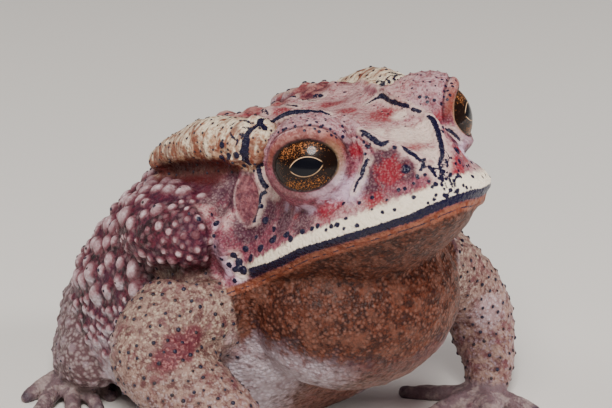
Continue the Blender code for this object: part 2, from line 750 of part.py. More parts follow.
def paint(thing, roughness):
    """Gives a node its own plain material, named for it."""
    kind = thing.name.replace("_left", "").replace("_right", "")
    material = bpy.data.materials.new(thing.name)
    material.use_nodes = True
    shader = material.node_tree.nodes["Principled BSDF"]
    shader.inputs["Base Color"].default_value = (*SKIN_COLOURS[kind], 1)
    shader.inputs["Roughness"].default_value = roughness
    thing.data.materials.clear()
    thing.data.materials.append(material)
    for polygon in thing.data.polygons:
        polygon.use_smooth = True


def part_off(rest, name, volume):
    """Splits one node off the rest, leaving the joint gap between them."""
    node = new_object(name, rest.data.copy())
    inner, outer = volume(0.0), volume(JOINT_GAP)
    boolean(node, inner, "INTERSECT")
    boolean(rest, outer, "DIFFERENCE")
    bpy.data.objects.remove(inner)
    bpy.data.objects.remove(outer)
    keep_largest(node)
    return node


def main():
    for thing in list(bpy.data.objects):
        bpy.data.objects.remove(thing)
    flesh = fuse(flesh_forms(), FUSE_VOXEL, 7)
    shape_skin(flesh)
    thin_out(flesh, BODY_TRIANGLES)
    cut_flat_below(flesh)
    add_features(flesh)
    pierce_nostrils(flesh)
    eyes = []
    for side, word in ((-1, "right"), (1, "left")):
        cutter = lid_cutter(side)
        boolean(flesh, cutter, "DIFFERENCE")
        bpy.data.objects.remove(cutter)
        centre = (EYE_CENTRE[0], side * EYE_CENTRE[1], EYE_CENTRE[2])
        eye = ellipsoid(centre, [EYE_RADIUS] * 3, head_matrix(), segments=20, rings=12)
        eye.name = eye.data.name = f"eye_{word}"
        eyes.append(eye)
    keep_largest(flesh)
    nodes = [part_off(flesh, name, volume) for name, volume in node_volumes()]
    keep_largest(flesh)
    flesh.name = flesh.data.name = "torso"
    for node in nodes + [flesh]:
        clean(node)
        paint(node, 0.55)
    for eye in eyes:
        paint(eye, 0.08)
    points = np.vstack([mesh_points(node.data)[0] for node in nodes + eyes + [flesh]])
    low, high = points.min(axis=0), points.max(axis=0)
    shift = Vector((-(low[0] + high[0]) / 2, -(low[1] + high[1]) / 2, -low[2])) * MM
    for node in nodes + eyes + [flesh]:
        node.data.transform(Matrix.Translation(shift))


main()
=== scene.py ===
"""An Asian common toad as a life-size museum model, sitting still with its head lifted.

The toad faces -Y with its left side at +X. Forms and markings are set out in millimetres, most of
them in head coordinates: forward, left and up from the middle of the head.
"""

import itertools
import math

import bmesh
import bpy
import numpy as np
from mathutils import Euler, Matrix, Vector, noise
from mathutils.bvhtree import BVHTree
from mathutils.kdtree import KDTree


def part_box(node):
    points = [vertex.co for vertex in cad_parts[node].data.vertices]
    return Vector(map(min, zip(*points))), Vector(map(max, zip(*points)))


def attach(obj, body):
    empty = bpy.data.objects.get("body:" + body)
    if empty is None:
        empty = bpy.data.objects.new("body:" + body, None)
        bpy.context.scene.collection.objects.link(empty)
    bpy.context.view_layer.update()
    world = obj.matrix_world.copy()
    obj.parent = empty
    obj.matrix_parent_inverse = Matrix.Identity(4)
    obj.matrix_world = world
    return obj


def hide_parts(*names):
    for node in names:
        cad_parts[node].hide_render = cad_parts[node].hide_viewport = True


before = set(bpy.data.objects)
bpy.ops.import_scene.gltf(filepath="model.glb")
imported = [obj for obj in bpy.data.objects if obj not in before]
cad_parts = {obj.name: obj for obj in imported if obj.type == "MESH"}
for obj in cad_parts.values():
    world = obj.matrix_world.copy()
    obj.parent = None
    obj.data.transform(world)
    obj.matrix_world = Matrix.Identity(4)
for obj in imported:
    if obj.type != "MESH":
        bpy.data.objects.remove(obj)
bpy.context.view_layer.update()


# The flesh. A toad's body under one loose skin: torso, head, two parotoid glands, arms and folded
# hind legs. The model is cast in one piece, so its forms are lofted first and melted together.
MM = 0.001
HEAD_ORIGIN = Vector((0.0, 0.0, 35.7))
HEAD_PITCH = 14.5
HEAD_ROLL = 5.5
SNOUT_LENGTH = 27.5
JAW_HALF_WIDTH = 17.4
EYE_CENTRE = (12.5, 10.2, 9.7)
EYE_AXIS = (0.68, 0.73, 0.06)
EYE_RADIUS = 5.6
LID_TOPS = {-1: 14.7, 1: 16.6}

# y, top, underside, half width, height of the widest place
TORSO = [
    (-9, 45, 24, 9, 32),
    (-3, 49, 13, 16.5, 25),
    (5, 50, 3.5, 21.5, 19),
    (13, 47.5, -0.4, 24.5, 16),
    (22, 43, -0.8, 25.0, 15),
    (32, 36, -0.8, 24, 13.5),
    (41, 27, -0.8, 20, 12),
    (49, 18.5, -0.3, 14, 10),
    (54.5, 12, 3, 8, 8),
]

# forward, mouth height, crest half width, crest height, crown height, underside
HEAD = [
    (-16, -6.5, 9.5, 11.5, 11.5, -20),
    (-9, -6.4, 9.5, 13.2, 13.2, -17),
    (-2, -5.9, 8.8, 14.3, 14.0, -14.5),
    (5, -3.7, 7.2, 15.2, 14.3, -12),
    (12, -1.7, 5.8, 14.4, 13.0, -9.2),
    (18, -0.5, 5.2, 12.2, 11.1, -6.4),
    (22, 0.2, 4.5, 10.0, 9.2, -4.2),
    (25, 0.8, 3.4, 7.6, 7.2, -2.4),
    (26.7, 1.3, 2.2, 5.2, 5.0, -1.2),
    (27.4, 1.5, 1.0, 3.0, 3.0, -0.3),
]

# Each limb is a row of (x, y, z, radius) from the body outwards
RIGHT_ARM = [(-14, 5, 23.5, 7.5), (-21, 5, 22.5, 7.2), (-26.6, 4.5, 19, 6.9), (-26, 0, 15.5, 6.3),
             (-23, -6, 10.5, 5.6), (-20.5, -10, 5.5, 4.3), (-20, -12, 2.6, 3.2)]
LEFT_ARM = [(15, 4, 23.5, 7.5), (22, 5, 20.5, 6.4), (28.5, 4.5, 14.5, 5.2), (30, 4, 10, 5.0),
            (29, 1, 6, 4.0), (27.5, -1, 2.6, 3.2)]
THIGH = [(8, 42, 12, 8), (14, 39, 11, 7.6), (19, 34, 9.5, 6.4), (22.3, 31, 8, 4.6)]
SHANK = [(22.3, 31, 7.5, 4.4), (20.5, 36, 6, 4.8), (17.5, 42.5, 5, 4.2), (15, 46.5, 4.2, 3.6)]
TARSUS = [(15, 46.5, 3.6, 3.3), (18, 42, 2.6, 3.0), (20.5, 38, 1.8, 2.6)]
FINGER_TIPS = [(-9.5, 8, 0, 1.6), (-13.5, -1.5, 0.6, 1.6), (-8.5, -12.5, 0.8, 1.7), (2.0, -8.5, 0.4, 1.6)]
TOE_TIPS = [(19, 31.5), (23, 28), (28, 27), (31.5, 31.5), (29.5, 38)]
GLAND = [(12.0, 1.6, 47.0, 2.9), (12.6, 5.2, 46.2, 3.5), (13.1, 9.4, 45.2, 3.7), (13.5, 13.7, 43.6, 3.4),
         (14.0, 18.1, 41.6, 2.8), (14.5, 22.3, 39.5, 2.0)]
GLAND_LIFTS = {-1: 0.0, 1: 2.6}
# Rounded forms melted into the flesh: centre, radii and turn in degrees, of the left one of a pair
CHEST = ((0, -4.5, 23.5), (15.8, 12.8, 12.5))
NAPE = ((8.0, 11.0, 42.6), (7.5, 13.0, 5.0), (-14, 10, 0))
FLANK_ROLL = ((14.5, 12.0, 32.5), (10.8, 14.0, 6.6), (-8, 0, 0))
JAW_LOBE = ((-2.6, 17.0, -2.8), (3.2, 1.8, 4.0))
SOCKET_RADII = (6.5, 6.3, 6.4)
LID_RADII = (6.8, 6.2, 5.4)
PALM_RADII = (4.6, 4.6, 1.8)
ANKLE = (21.0, 39.5, 1.5)
VOXEL = 0.32
SMOOTHING_ROUNDS = 14


def head_matrix():
    """Turns head coordinates into the toad's own frame, in millimetres."""
    pitch, roll = math.radians(HEAD_PITCH), math.radians(HEAD_ROLL)
    forward = Vector((0, -math.cos(pitch), math.sin(pitch)))
    up = Vector((0, math.sin(pitch), math.cos(pitch)))
    left = Vector((1, 0, 0))
    tilted_left = left * math.cos(roll) + up * math.sin(roll)
    tilted_up = up * math.cos(roll) - left * math.sin(roll)
    turned = Matrix((forward, tilted_left, tilted_up)).transposed()
    return Matrix.Translation(HEAD_ORIGIN) @ turned.to_4x4()


TO_BODY = head_matrix()
TO_HEAD = TO_BODY.inverted()
# How far the solids were moved to stand on the floor, in metres, read from the frame's left eye
eye_low, eye_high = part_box("eye_left")
SET_DOWN = (Vector(eye_low) + Vector(eye_high)) / 2 - (TO_BODY @ Vector(EYE_CENTRE)) * MM


def in_metres(matrix):
    """The same placement for points given in metres."""
    out = matrix.copy()
    out.translation = matrix.translation * MM
    return out


def smooth_table(rows, count):
    """Reads a smooth curve through rows of numbers at count evenly spaced stations."""
    rows = np.array(rows, float)
    padded = np.vstack([2 * rows[0] - rows[1], rows, 2 * rows[-1] - rows[-2]])
    out = []
    for at in np.linspace(0, len(rows) - 1, count):
        i = min(int(at), len(rows) - 2)
        t = at - i
        a, b, c, d = padded[i:i + 4]
        out.append(0.5 * (2 * b + (c - a) * t + (2 * a - 5 * b + 4 * c - d) * t * t
                          + (3 * b - a - 3 * c + d) * t ** 3))
    return np.array(out)


def placed(name, data):
    """An object with this data, in the scene."""
    thing = bpy.data.objects.new(name, data)
    bpy.context.scene.collection.objects.link(thing)
    return thing


def object_from(bm, name="form", matrix=None):
    """Puts a finished bmesh, made in millimetres, into the scene in metres."""
    mesh = bpy.data.meshes.new(name)
    bmesh.ops.recalc_face_normals(bm, faces=bm.faces)
    bm.to_mesh(mesh)
    bm.free()
    mesh.transform(Matrix.Scale(MM, 4))
    if matrix is not None:
        mesh.transform(in_metres(matrix))
    return placed(name, mesh)


def closed_loft(rings):
    """A closed mesh through rings of points, each end closed by a fan."""
    bm = bmesh.new()
    loops = [[bm.verts.new(Vector(p)) for p in ring] for ring in rings]
    count = len(loops[0])
    for low, high in zip(loops, loops[1:]):
        for i in range(count):
            j = (i + 1) % count
            bm.faces.new((low[i], low[j], high[j], high[i]))
    for loop in (loops[0], loops[-1]):
        hub = bm.verts.new(sum((v.co for v in loop), Vector()) / count)
        for i in range(count):
            bm.faces.new((loop[i], loop[(i + 1) % count], hub))
    return bm


def ellipsoid(centre, radii, turn=(0, 0, 0), matrix=None):
    """A rounded form, turned by degrees, in the toad's frame or in another one."""
    bm = bmesh.new()
    bmesh.ops.create_uvsphere(bm, u_segments=48, v_segments=32, radius=1.0)
    bmesh.ops.transform(bm, matrix=Matrix.Diagonal((*radii, 1)), verts=bm.verts)
    turned = Euler([math.radians(a) for a in turn]).to_matrix().to_4x4()
    bmesh.ops.transform(bm, matrix=Matrix.Translation(Vector(centre)) @ turned, verts=bm.verts)
    return object_from(bm, matrix=matrix)


def limb(rows, sides=20, steps=7):
    """A tapered tube with round ends through rows of (x, y, z, radius)."""
    table = smooth_table(rows, (len(rows) - 1) * steps + 1)
    points, radii = table[:, :3], np.maximum(table[:, 3], 0.3)
    ways = np.gradient(points, axis=0)
    ways /= np.linalg.norm(ways, axis=1)[:, None]

    def ring(centre, way, radius):
        side = np.cross(way, (0, 0, 1.0))
        side /= np.linalg.norm(side)
        lift = np.cross(side, way)
        return [centre + radius * (math.cos(a) * side + math.sin(a) * lift)
                for a in np.linspace(0, 2 * math.pi, sides, endpoint=False)]

    caps = [(math.sin(math.radians(angle)), math.cos(math.radians(angle))) for angle in (80, 55, 30)]
    rings = [ring(points[0] - ways[0] * sine * radii[0], ways[0], radii[0] * cosine)
             for sine, cosine in caps]
    rings += [ring(*station) for station in zip(points, ways, radii)]
    rings += [ring(points[-1] + ways[-1] * sine * radii[-1], ways[-1], radii[-1] * cosine)
              for sine, cosine in reversed(caps)]
    return object_from(closed_loft(rings))


def mirrored(rows, side):
    """Rows of the left side, or their mirror image for the right one."""
    return [(side * x, *rest) for x, *rest in rows]


def torso_ring(row, angles):
    """Points of the torso's outline at one row of its table."""
    y, top, under, half, waist = row
    ring = []
    for angle in angles:
        c, s = math.cos(angle), math.sin(angle)
        power = 1.0 if s > 0 else 0.72
        reach = (top - waist) if s > 0 else (waist - under)
        across = half * math.copysign(abs(c) ** power, c)
        ring.append((across, y, waist + math.copysign(abs(s) ** 0.95, s) * reach))
    return ring


def jaw_half_width(forward):
    """Half the width of the mouth, seen from above, at a place along the head."""
    if forward < 0:
        return JAW_HALF_WIDTH - 0.012 * forward * forward
    return JAW_HALF_WIDTH * max(1 - (forward / SNOUT_LENGTH) ** 2.15, 0.0) ** 0.5


def head_form():
    """The head, lofted from its table: roof, crests, cheeks, lips and throat."""
    rings = []
    for forward, mouth, crest, height, crown, under in smooth_table(HEAD, 40):
        wide = jaw_half_width(forward)
        crest = min(crest, wide * 0.7)
        half = [
            (crest * 0.5, crown + 0.1),
            (crest, height),
            (crest + 0.30 * (wide - crest), height - 0.30 * (height - mouth)),
            (crest + 0.62 * (wide - crest), height - 0.62 * (height - mouth)),
            (wide - 0.5, mouth + 2.3),
            (wide, mouth + 0.9),
            (wide - 0.2, mouth + 0.1),
            (wide - 1.3, mouth - 0.4),
            (wide - 1.6, mouth - 1.4),
            (wide * 0.80 - 1.2, mouth + 0.42 * (under - mouth)),
            (wide * 0.45, mouth + 0.85 * (under - mouth)),
        ]
        half = [(max(l, 0.05), u) for l, u in half]
        outline = [(0, crown), *half, (0, under), *((-l, u) for l, u in reversed(half))]
        rings.append([(forward, l, u) for l, u in outline])
    return object_from(closed_loft(rings), matrix=TO_BODY)


def finger_rows(side, wrist):
    """Four free fingers, spread from the wrist."""
    x, y = wrist
    rows = []
    for tip_x, tip_y, bend, root in FINGER_TIPS:
        start = Vector((x - side * 1.5, y - 0.5, 1.3))
        tip = Vector((x + side * tip_x, y + tip_y, 0.7))
        mid = (start + tip) / 2 + Vector((0, 0, bend))
        rows.append([(*start, root + 0.2), (*mid, root - 0.25), (*tip, root - 0.5)])
    return rows


def toe_rows(side):
    """Five toes, spread from the ankle."""
    rows = []
    for tip_x, tip_y in TOE_TIPS:
        start = Vector((side * ANKLE[0], *ANKLE[1:]))
        tip = Vector((side * tip_x, tip_y, 0.7))
        mid = (start + tip) / 2 + Vector((0, 0, 0.7))
        rows.append([(*start, 1.8), (*mid, 1.4), (*tip, 1.1)])
    return rows


def gland_rows(side):
    return [(side * x, y, z + GLAND_LIFTS[side], radius) for x, y, z, radius in GLAND]


def flesh_forms():
    """Every form of the body, each closed and still on its own."""
    f, l, u = EYE_CENTRE
    angles = np.linspace(0, 2 * math.pi, 60, endpoint=False)
    torso = object_from(closed_loft([torso_ring(row, angles) for row in smooth_table(TORSO, 50)]))
    forms = [torso, head_form(), ellipsoid(*CHEST)]
    for side in (-1, 1):
        forms.append(ellipsoid((f, side * l, u), SOCKET_RADII, matrix=TO_BODY))
        lid = (f - 0.4, side * (l - 0.4), LID_TOPS[side] - LID_RADII[2])
        forms.append(ellipsoid(lid, LID_RADII, matrix=TO_BODY))
        forms.append(limb(gland_rows(side)))
        (x, y, z), radii, (lean, tip, _) = NAPE
        forms.append(ellipsoid((side * x, y, z + 0.8 * GLAND_LIFTS[side]), radii, (lean, side * tip, 0)))
        (x, y, z), radii, turn = FLANK_ROLL
        forms.append(ellipsoid((side * x, y, z), radii, turn))
        (ahead, left, up), radii = JAW_LOBE
        forms.append(ellipsoid((ahead, side * left, up), radii, matrix=TO_BODY))
        forms += [limb(mirrored(rows, side)) for rows in (THIGH, SHANK, TARSUS)]
        forms += [limb(rows, sides=14) for rows in toe_rows(side)]
    for side, arm in ((-1, RIGHT_ARM), (1, LEFT_ARM)):
        forms.append(limb(arm))
        x, y = arm[-1][:2]
        forms.append(ellipsoid((x - side * 2.5, y - 1, 1.2), PALM_RADII))
        forms += [limb(rows, sides=14) for rows in finger_rows(side, (x, y))]
    return forms


def baked(thing):
    """Turns an object's modifiers into its own mesh."""
    graph = bpy.context.evaluated_depsgraph_get()
    mesh = bpy.data.meshes.new_from_object(thing.evaluated_get(graph))
    thing.modifiers.clear()
    thing.data = mesh
    return thing


def melted(forms):
    """Melts overlapping forms into one even skin."""
    bm = bmesh.new()
    for form in forms:
        bm.from_mesh(form.data)
        mesh = form.data
        bpy.data.objects.remove(form)
        bpy.data.meshes.remove(mesh)
    mesh = bpy.data.meshes.new("skin")
    bm.to_mesh(mesh)
    bm.free()
    flesh = placed("skin", mesh)
    remesh = flesh.modifiers.new("melt", "REMESH")
    remesh.mode = "VOXEL"
    remesh.voxel_size = VOXEL * MM
    smooth = flesh.modifiers.new("smooth", "SMOOTH")
    smooth.factor = 0.5
    smooth.iterations = SMOOTHING_ROUNDS
    return baked(flesh)


skin = melted(flesh_forms())


# Relief. Bony crests frame the eyes and run down the snout; the lids stand off the eyeballs, the
# eardrum is a shallow oval and the nostrils are rimmed pits. All of it is raised out of the skin.
# Height, width and line of each crest of the left half of the head
RIDGES = [
    (0.75, 0.8, [(16.6, 5.0, 12.8), (18.6, 5.0, 11.7), (21.0, 4.3, 10.2), (23.4, 2.7, 8.6),
                 (25.2, 1.4, 7.2)]),
    (0.85, 0.9, [(2.2, 8.8, 14.2), (5.6, 6.8, 15.3), (9.0, 5.8, 15.4), (13.0, 5.0, 14.3),
                 (16.2, 5.0, 13.0)]),
    (0.7, 0.8, [(2.2, 8.8, 14.2), (1.5, 10.7, 12.8), (0.9, 11.6, 10.2), (2.2, 12.4, 7.6), (3.4, 13.0, 5.6),
                (3.2, 14.6, 3.6), (2.9, 15.6, 2.6)]),
    (0.5, 0.7, [(17.9, 6.2, 11.0), (20.1, 6.6, 9.0), (20.0, 7.9, 7.2), (19.3, 9.3, 5.4)]),
    (0.7, 0.8, [(1.6, 10.4, 12.6), (-1.2, 11.6, 12.4), (-3.6, 12.6, 12.0)]),
]
# Depth, width and line of each fold of the left half of the body
FOLDS = [
    (1.5, 0.9, [(24.1, 13.4, 26.4), (23.2, 9, 27.6), (22.7, 3.7, 29.3), (21, 2.5, 29.6), (19.2, 2.2, 29.6)]),
    (1.4, 1.0, [(14.5, 4.3, 43), (15.6, 4.0, 40.2), (16.5, 3.8, 38.3), (17.9, 2.9, 36), (18.8, 2.6, 33),
                (18.6, 2.7, 30.7), (18.2, 2.3, 28.9)]),
    (1.2, 1.5, [(14.9, 19, 38.7), (14.8, 15, 39.3), (14.8, 10.7, 40.3), (14.6, 7.6, 41.1),
                (14.2, 4.5, 42.2)]),
]
NOSTRIL = (24.5, 4.2, 7.0)
NOSTRIL_DEPTH = 1.1
TYMPANUM = (0.9, 14.3, 5.3)
TYMPANUM_RADII = (2.0, 3.4)
TYMPANUM_ACROSS = (0.75, -0.66)
# Half the width and height of the lids' opening, in degrees round the gaze
LID_OPENING = (49.5, 35.0)
LID_CREASE = 1.75
EYE_AREA = 9.0
BEAD_HEIGHT = 0.3
# Stands for any distance too far from a mark to matter
FAR = 9.0

# Forward and height of the upper lip's edge
LIP_EDGE = [(-8, -6.2), (-3, -5.6), (1.5, -4.6), (5, -3.6), (8, -2.8), (12.8, -1.3), (18.5, -0.3),
            (22.7, 0.4), (25.7, 0.9), (27.1, 1.5), (27.6, 1.7)]

# Glossy beads of the cheek and lip: forward, left, up and radius on the right side, repeated on the
# left. They were read off the photograph, and a program cast them onto the model.
BEADS = [
    (-1.4, -15.1, 13.2, 0.49), (-0.7, -13.6, 11.4, 0.49), (-0.6, -12.5, 10.4, 0.31),
    (-2.5, -14.8, 11.4, 0.31), (-2.2, -13.9, 10.1, 0.35), (3.9, -14.0, 2.3, 0.49),
    (6.5, -14.3, 1.5, 0.35), (9.7, -14.9, 0.4, 0.45), (11.2, -14.7, 0.5, 0.45), (12.9, -14.1, 1.0, 0.35),
    (14.7, -13.6, 1.3, 0.31), (15.6, -13.2, 1.5, 0.35), (17.8, -12.5, 1.7, 0.31),
    (18.3, -12.2, 1.8, 0.31), (19.4, -11.6, 2.1, 0.24), (20.9, -11.2, 1.3, 0.28),
    (18.2, -10.4, 3.8, 0.24), (19.5, -10.0, 3.7, 0.28), (20.3, -9.4, 3.9, 0.24), (21.7, -8.3, 4.3, 0.24),
    (23.6, -8.6, 2.5, 0.21), (24.7, -7.4, 2.5, 0.21), (24.4, -5.9, 4.7, 0.24), (24.9, -5.2, 4.7, 0.21),
    (25.9, -4.9, 3.4, 0.28), (7.0, -15.4, -0.2, 0.59), (4.5, -16.0, -1.0, 0.52),
    (1.2, -16.4, -1.0, 0.42), (-0.1, -17.3, -1.3, 0.38), (2.8, -15.3, 0.2, 0.28),
    (2.4, -16.7, -2.2, 0.56), (0.2, -17.4, -2.5, 0.52), (0.3, -18.0, -3.4, 0.45),
    (-1.0, -17.9, -0.8, 0.35), (-0.3, -19.3, -2.8, 0.42), (0.1, -18.7, -3.5, 0.42),
    (0.8, -17.2, -3.8, 0.63), (3.4, -14.1, 4.4, 0.31), (-2.8, -17.4, 2.6, 0.35),
    (-0.7, -20.6, -2.4, 0.31), (-1.8, -18.2, -0.2, 0.21), (0.3, -19.7, -5.0, 0.35),
    (17.0, -13.2, 1.1, 0.21), (19.5, -12.1, 1.0, 0.21), (26.9, -1.9, 4.4, 0.28), (27.1, -2.7, 2.5, 0.21),
    (26.8, -0.7, 4.7, 0.24), (27.4, -1.0, 2.6, 0.24), (25.8, -3.6, 5.7, 0.21), (19.6, -5.8, 10.4, 0.21),
    (19.7, -6.6, 9.7, 0.17), (22.8, -4.0, 9.8, 0.28), (23.5, -7.4, 3.7, 0.17), (22.3, -9.2, 2.9, 0.14),
]


def mesh_points(mesh):
    """Places and normals of a mesh's points, in millimetres."""
    places = np.empty(len(mesh.vertices) * 3)
    mesh.vertices.foreach_get("co", places)
    normals = np.empty(len(mesh.vertices) * 3)
    mesh.vertex_normals.foreach_get("vector", normals)
    return places.reshape(-1, 3) / MM, normals.reshape(-1, 3)


def put_points(mesh, places):
    """Moves a mesh's points to places in millimetres."""
    mesh.vertices.foreach_set("co", (places * MM).ravel())
    mesh.update()


def to_head(places):
    """The same places in head coordinates."""
    back = np.array(TO_HEAD)
    return places @ back[:3, :3].T + back[:3, 3]


def line_reach(points, line, room=5.0):
    """How far every point lies outside a tapered line of (x, y, z, half width), up to some room."""
    line = np.array(line, float)
    reach = room + line[:, 3].max()
    low, high = line[:, :3].min(axis=0) - reach, line[:, :3].max(axis=0) + reach
    near = np.all((points > low) & (points < high), axis=1)
    chosen = points[near]
    best = np.full(len(chosen), room)
    for start, end in zip(line, line[1:]):
        way = end[:3] - start[:3]
        offset = chosen - start[:3]
        t = np.clip(offset @ way / max(way @ way, 1e-9), 0, 1)
        offset -= t[:, None] * way
        away = np.sqrt(np.einsum("ij,ij->i", offset, offset))
        best = np.minimum(best, away - start[3] - t * (end[3] - start[3]))
    out = np.full(len(points), room)
    out[near] = best
    return out


def both_reach(points, line):
    """How far every point lies from a line of (x, y, z) and its mirror image."""
    return np.min([line_reach(points, [(*place, 0) for place in mirrored(line, side)])
                   for side in (-1, 1)], axis=0)


def on_skin(tree, point, side=1):
    """The place on the skin nearest to a point of the head, or to its mirror image."""
    f, l, u = point
    place = tree.find_nearest(TO_BODY @ Vector((f, side * l, u)) * MM)[0]
    return np.array(TO_HEAD @ (place / MM))


def laid_on(tree, line):
    """A line in head coordinates, with half widths, drawn onto the skin."""
    return [(*on_skin(tree, (f, l, u)), half) for f, l, u, half in smooth_table(line, len(line) * 3)]


def ring_shape(distance, radius, width):
    """1 at a distance and fading on both sides of it."""
    return np.exp(-((distance - radius) / width) ** 2)


def ease(value, low, high):
    """0 below low, 1 above high, and smooth between."""
    t = np.clip((value - low) / (high - low), 0, 1)
    return t * t * (3 - 2 * t)


def lip_edge(local):
    """Height of the upper lip's edge beside every point of the head."""
    return np.interp(local[:, 0], *np.array(LIP_EDGE).T)


def jaw_widths(local):
    return np.array([jaw_half_width(forward) for forward in local[:, 0]])


def ear_reach(local, tree, side):
    """Distance from the middle of one eardrum, 1 at its rim."""
    offset = (local - on_skin(tree, TYMPANUM, side)) * np.array((1, side, 1))
    across = offset[:, 0] * TYMPANUM_ACROSS[0] + offset[:, 1] * TYMPANUM_ACROSS[1]
    away = np.hypot(across / TYMPANUM_RADII[0], offset[:, 2] / TYMPANUM_RADII[1])
    return np.where(np.linalg.norm(offset, axis=1) < 6, away, FAR)


def eye_frame(side):
    """Centre, gaze, across and upward directions of one eye, in head coordinates."""
    f, l, u = EYE_AXIS
    gaze = Vector((f, side * l, u)).normalized()
    across = Vector((0, 0, 1)).cross(gaze).normalized()
    f, l, u = EYE_CENTRE
    return Vector((f, side * l, u)), gaze, across, gaze.cross(across)


def lid_measures(local, side):
    """Distance outside the lids' opening, its direction round the gaze, and reach from the eye's centre."""
    centre, gaze, across, lift = (np.array(v) for v in eye_frame(side))
    offset = local - centre
    reach = np.linalg.norm(offset, axis=1)
    ahead, aside, above = offset @ gaze, offset @ across, offset @ lift
    turned = np.degrees(np.arccos(np.clip(ahead / reach, -1, 1)))
    flat = np.maximum(np.hypot(aside, above), 1e-6)
    wide, high = turned * aside / flat, turned * above / flat
    inside = np.hypot(wide / LID_OPENING[0], high / LID_OPENING[1])
    slope = np.hypot(wide / LID_OPENING[0] ** 2, high / LID_OPENING[1] ** 2) / np.maximum(inside, 1e-6)
    outside = (inside - 1) / np.maximum(slope, 1e-6) * EYE_RADIUS * math.pi / 180
    return outside, aside / flat, above / flat, reach, offset


def refine(mesh, chosen):
    """Halves the faces among the chosen points."""
    bm = bmesh.new()
    bm.from_mesh(mesh)
    bm.verts.ensure_lookup_table()
    edges = [e for e in bm.edges if chosen[e.verts[0].index] and chosen[e.verts[1].index]]
    bmesh.ops.subdivide_edges(bm, edges=edges, cuts=1, use_grid_fill=True)
    bm.to_mesh(mesh)
    bm.free()


def raise_lids(mesh):
    """Pulls the skin back behind the eyeball inside the opening, and up over it outside."""
    places, _ = mesh_points(mesh)
    local = to_head(places)
    for side in (-1, 1):
        outside, aside, above, reach, offset = lid_measures(local, side)
        thick = 0.45 + 0.75 * np.maximum(above, 0)
        rim = EYE_RADIUS + 0.1 + thick * (1 - np.exp(-np.maximum(outside, 0) / 0.45))
        sunk = EYE_RADIUS - 0.8
        profile = np.where(outside > 0, rim, rim + (sunk - rim) * ease(-outside, 0.0, 0.3))
        crease = 0.45 * ring_shape(outside, LID_CREASE, 0.35) * ease(above, -0.3, 0.1)
        ahead = offset @ np.array(eye_frame(side)[1])
        hold = (1 - ease(outside, 1.2, 3.4)) * (reach < EYE_RADIUS + 4) * (ahead > -1)
        target = np.maximum(profile, np.where(outside > 0.6, np.minimum(reach, profile + 1.5), profile))
        aim = reach + (target - crease - reach) * hold
        local = local + offset * ((aim - reach) / reach)[:, None]
    there = np.array(TO_BODY)
    put_points(mesh, local @ there[:3, :3].T + there[:3, 3])


def raise_head(mesh, tree):
    """Raises the crests, rims and beads and sinks the nostrils and eardrums."""
    places, normals = mesh_points(mesh)
    local = to_head(places)
    lift = np.zeros(len(places))
    for side in (-1, 1):
        for height, width, line in RIDGES:
            laid = laid_on(tree, [(f, side * l, u, 0) for f, l, u in line])
            lift = np.maximum(lift, height * np.exp(-(line_reach(local, laid) / width) ** 2))
        away = np.linalg.norm(local - on_skin(tree, NOSTRIL, side), axis=1)
        lift += 0.4 * ring_shape(away, 1.05, 0.5) - NOSTRIL_DEPTH * np.exp(-(away / 0.6) ** 2)
        away = ear_reach(local, tree, side)
        lift += 0.25 * ring_shape(away, 1.06, 0.14) - 0.3 * (1 - ease(away, 0.75, 1.0))
        for *bead, radius in BEADS:
            away = np.linalg.norm(local - on_skin(tree, bead, -side), axis=1) / (radius * 1.15)
            lift += BEAD_HEIGHT * np.clip(1 - away ** 2, 0, 1) ** 0.8 * min(radius / 0.4, 1)
    put_points(mesh, places + normals * lift[:, None])


def fold_skin(mesh, tree):
    """Sinks the folds between flank and arm, behind the jaw and under the gland."""
    places, normals = mesh_points(mesh)
    sink = np.zeros(len(places))
    for depth, width, line in FOLDS:
        for side in (-1, 1):
            laid = []
            for x, y, z in smooth_table(line, len(line) * 4):
                place = tree.find_nearest(Vector((side * x, y, z)) * MM)[0] / MM
                laid.append((*place, 0))
            away = line_reach(places, laid)
            sink = np.maximum(sink, depth * np.exp(-(away / width) ** 2))
    put_points(mesh, places - normals * sink[:, None])


def skin_tree():
    """The skin as it stands, for finding the nearest place on it."""
    return BVHTree.FromObject(skin, bpy.context.evaluated_depsgraph_get())


def near_eyes(mesh):
    """The points round both eyes, where the lids need a finer mesh."""
    local = to_head(mesh_points(mesh)[0])
    away = [np.linalg.norm(local - np.array(eye_frame(side)[0]), axis=1) for side in (-1, 1)]
    return np.minimum(*away) < EYE_AREA


fold_skin(skin.data, skin_tree())
refine(skin.data, near_eyes(skin.data))
raise_head(skin.data, skin_tree())
raise_lids(skin.data)


# Warts. The back, flanks and legs are set with round warts, large along the back and small and
# close on the flanks; arms, glands and lids carry low ones. All are raised out of the skin.
# Room, radius and height of each kind of wart
WART_KINDS = {
    "back": (3.1, 1.45, 0.75),
    "ridge": (2.35, 1.25, 0.85),
    "flank": (1.36, 0.66, 0.52),
    "leg": (2.1, 0.85, 0.35),
    "arm": (1.42, 0.55, 0.2),
    "gland": (1.25, 0.42, 0.07),
    "lid": (1.2, 0.42, 0.14),
}
WART_SEED = 5
WART_TRIES = 60000
# Reach of a wart's foot in radii, and the side of the cells in which its neighbours are looked for
WART_FOOT = 1.25
SEARCH_CELL = 4
# Frequency and height of the skin's soft unevenness
UNEVENNESS = ((0.5, 0.25), (1.4, 0.08))


def smooth_reach(points, rows):
    """How far points lie outside a limb of the flesh."""
    return line_reach(points, smooth_table(rows, len(rows) * 3))


def gland_front(side):
    """Where the gland runs on, under the skin, to the crest behind the eye."""
    x, y, z = TO_BODY @ Vector((0.9, side * 12.6, 12.0))
    return [(x, y, z, 2.6)]


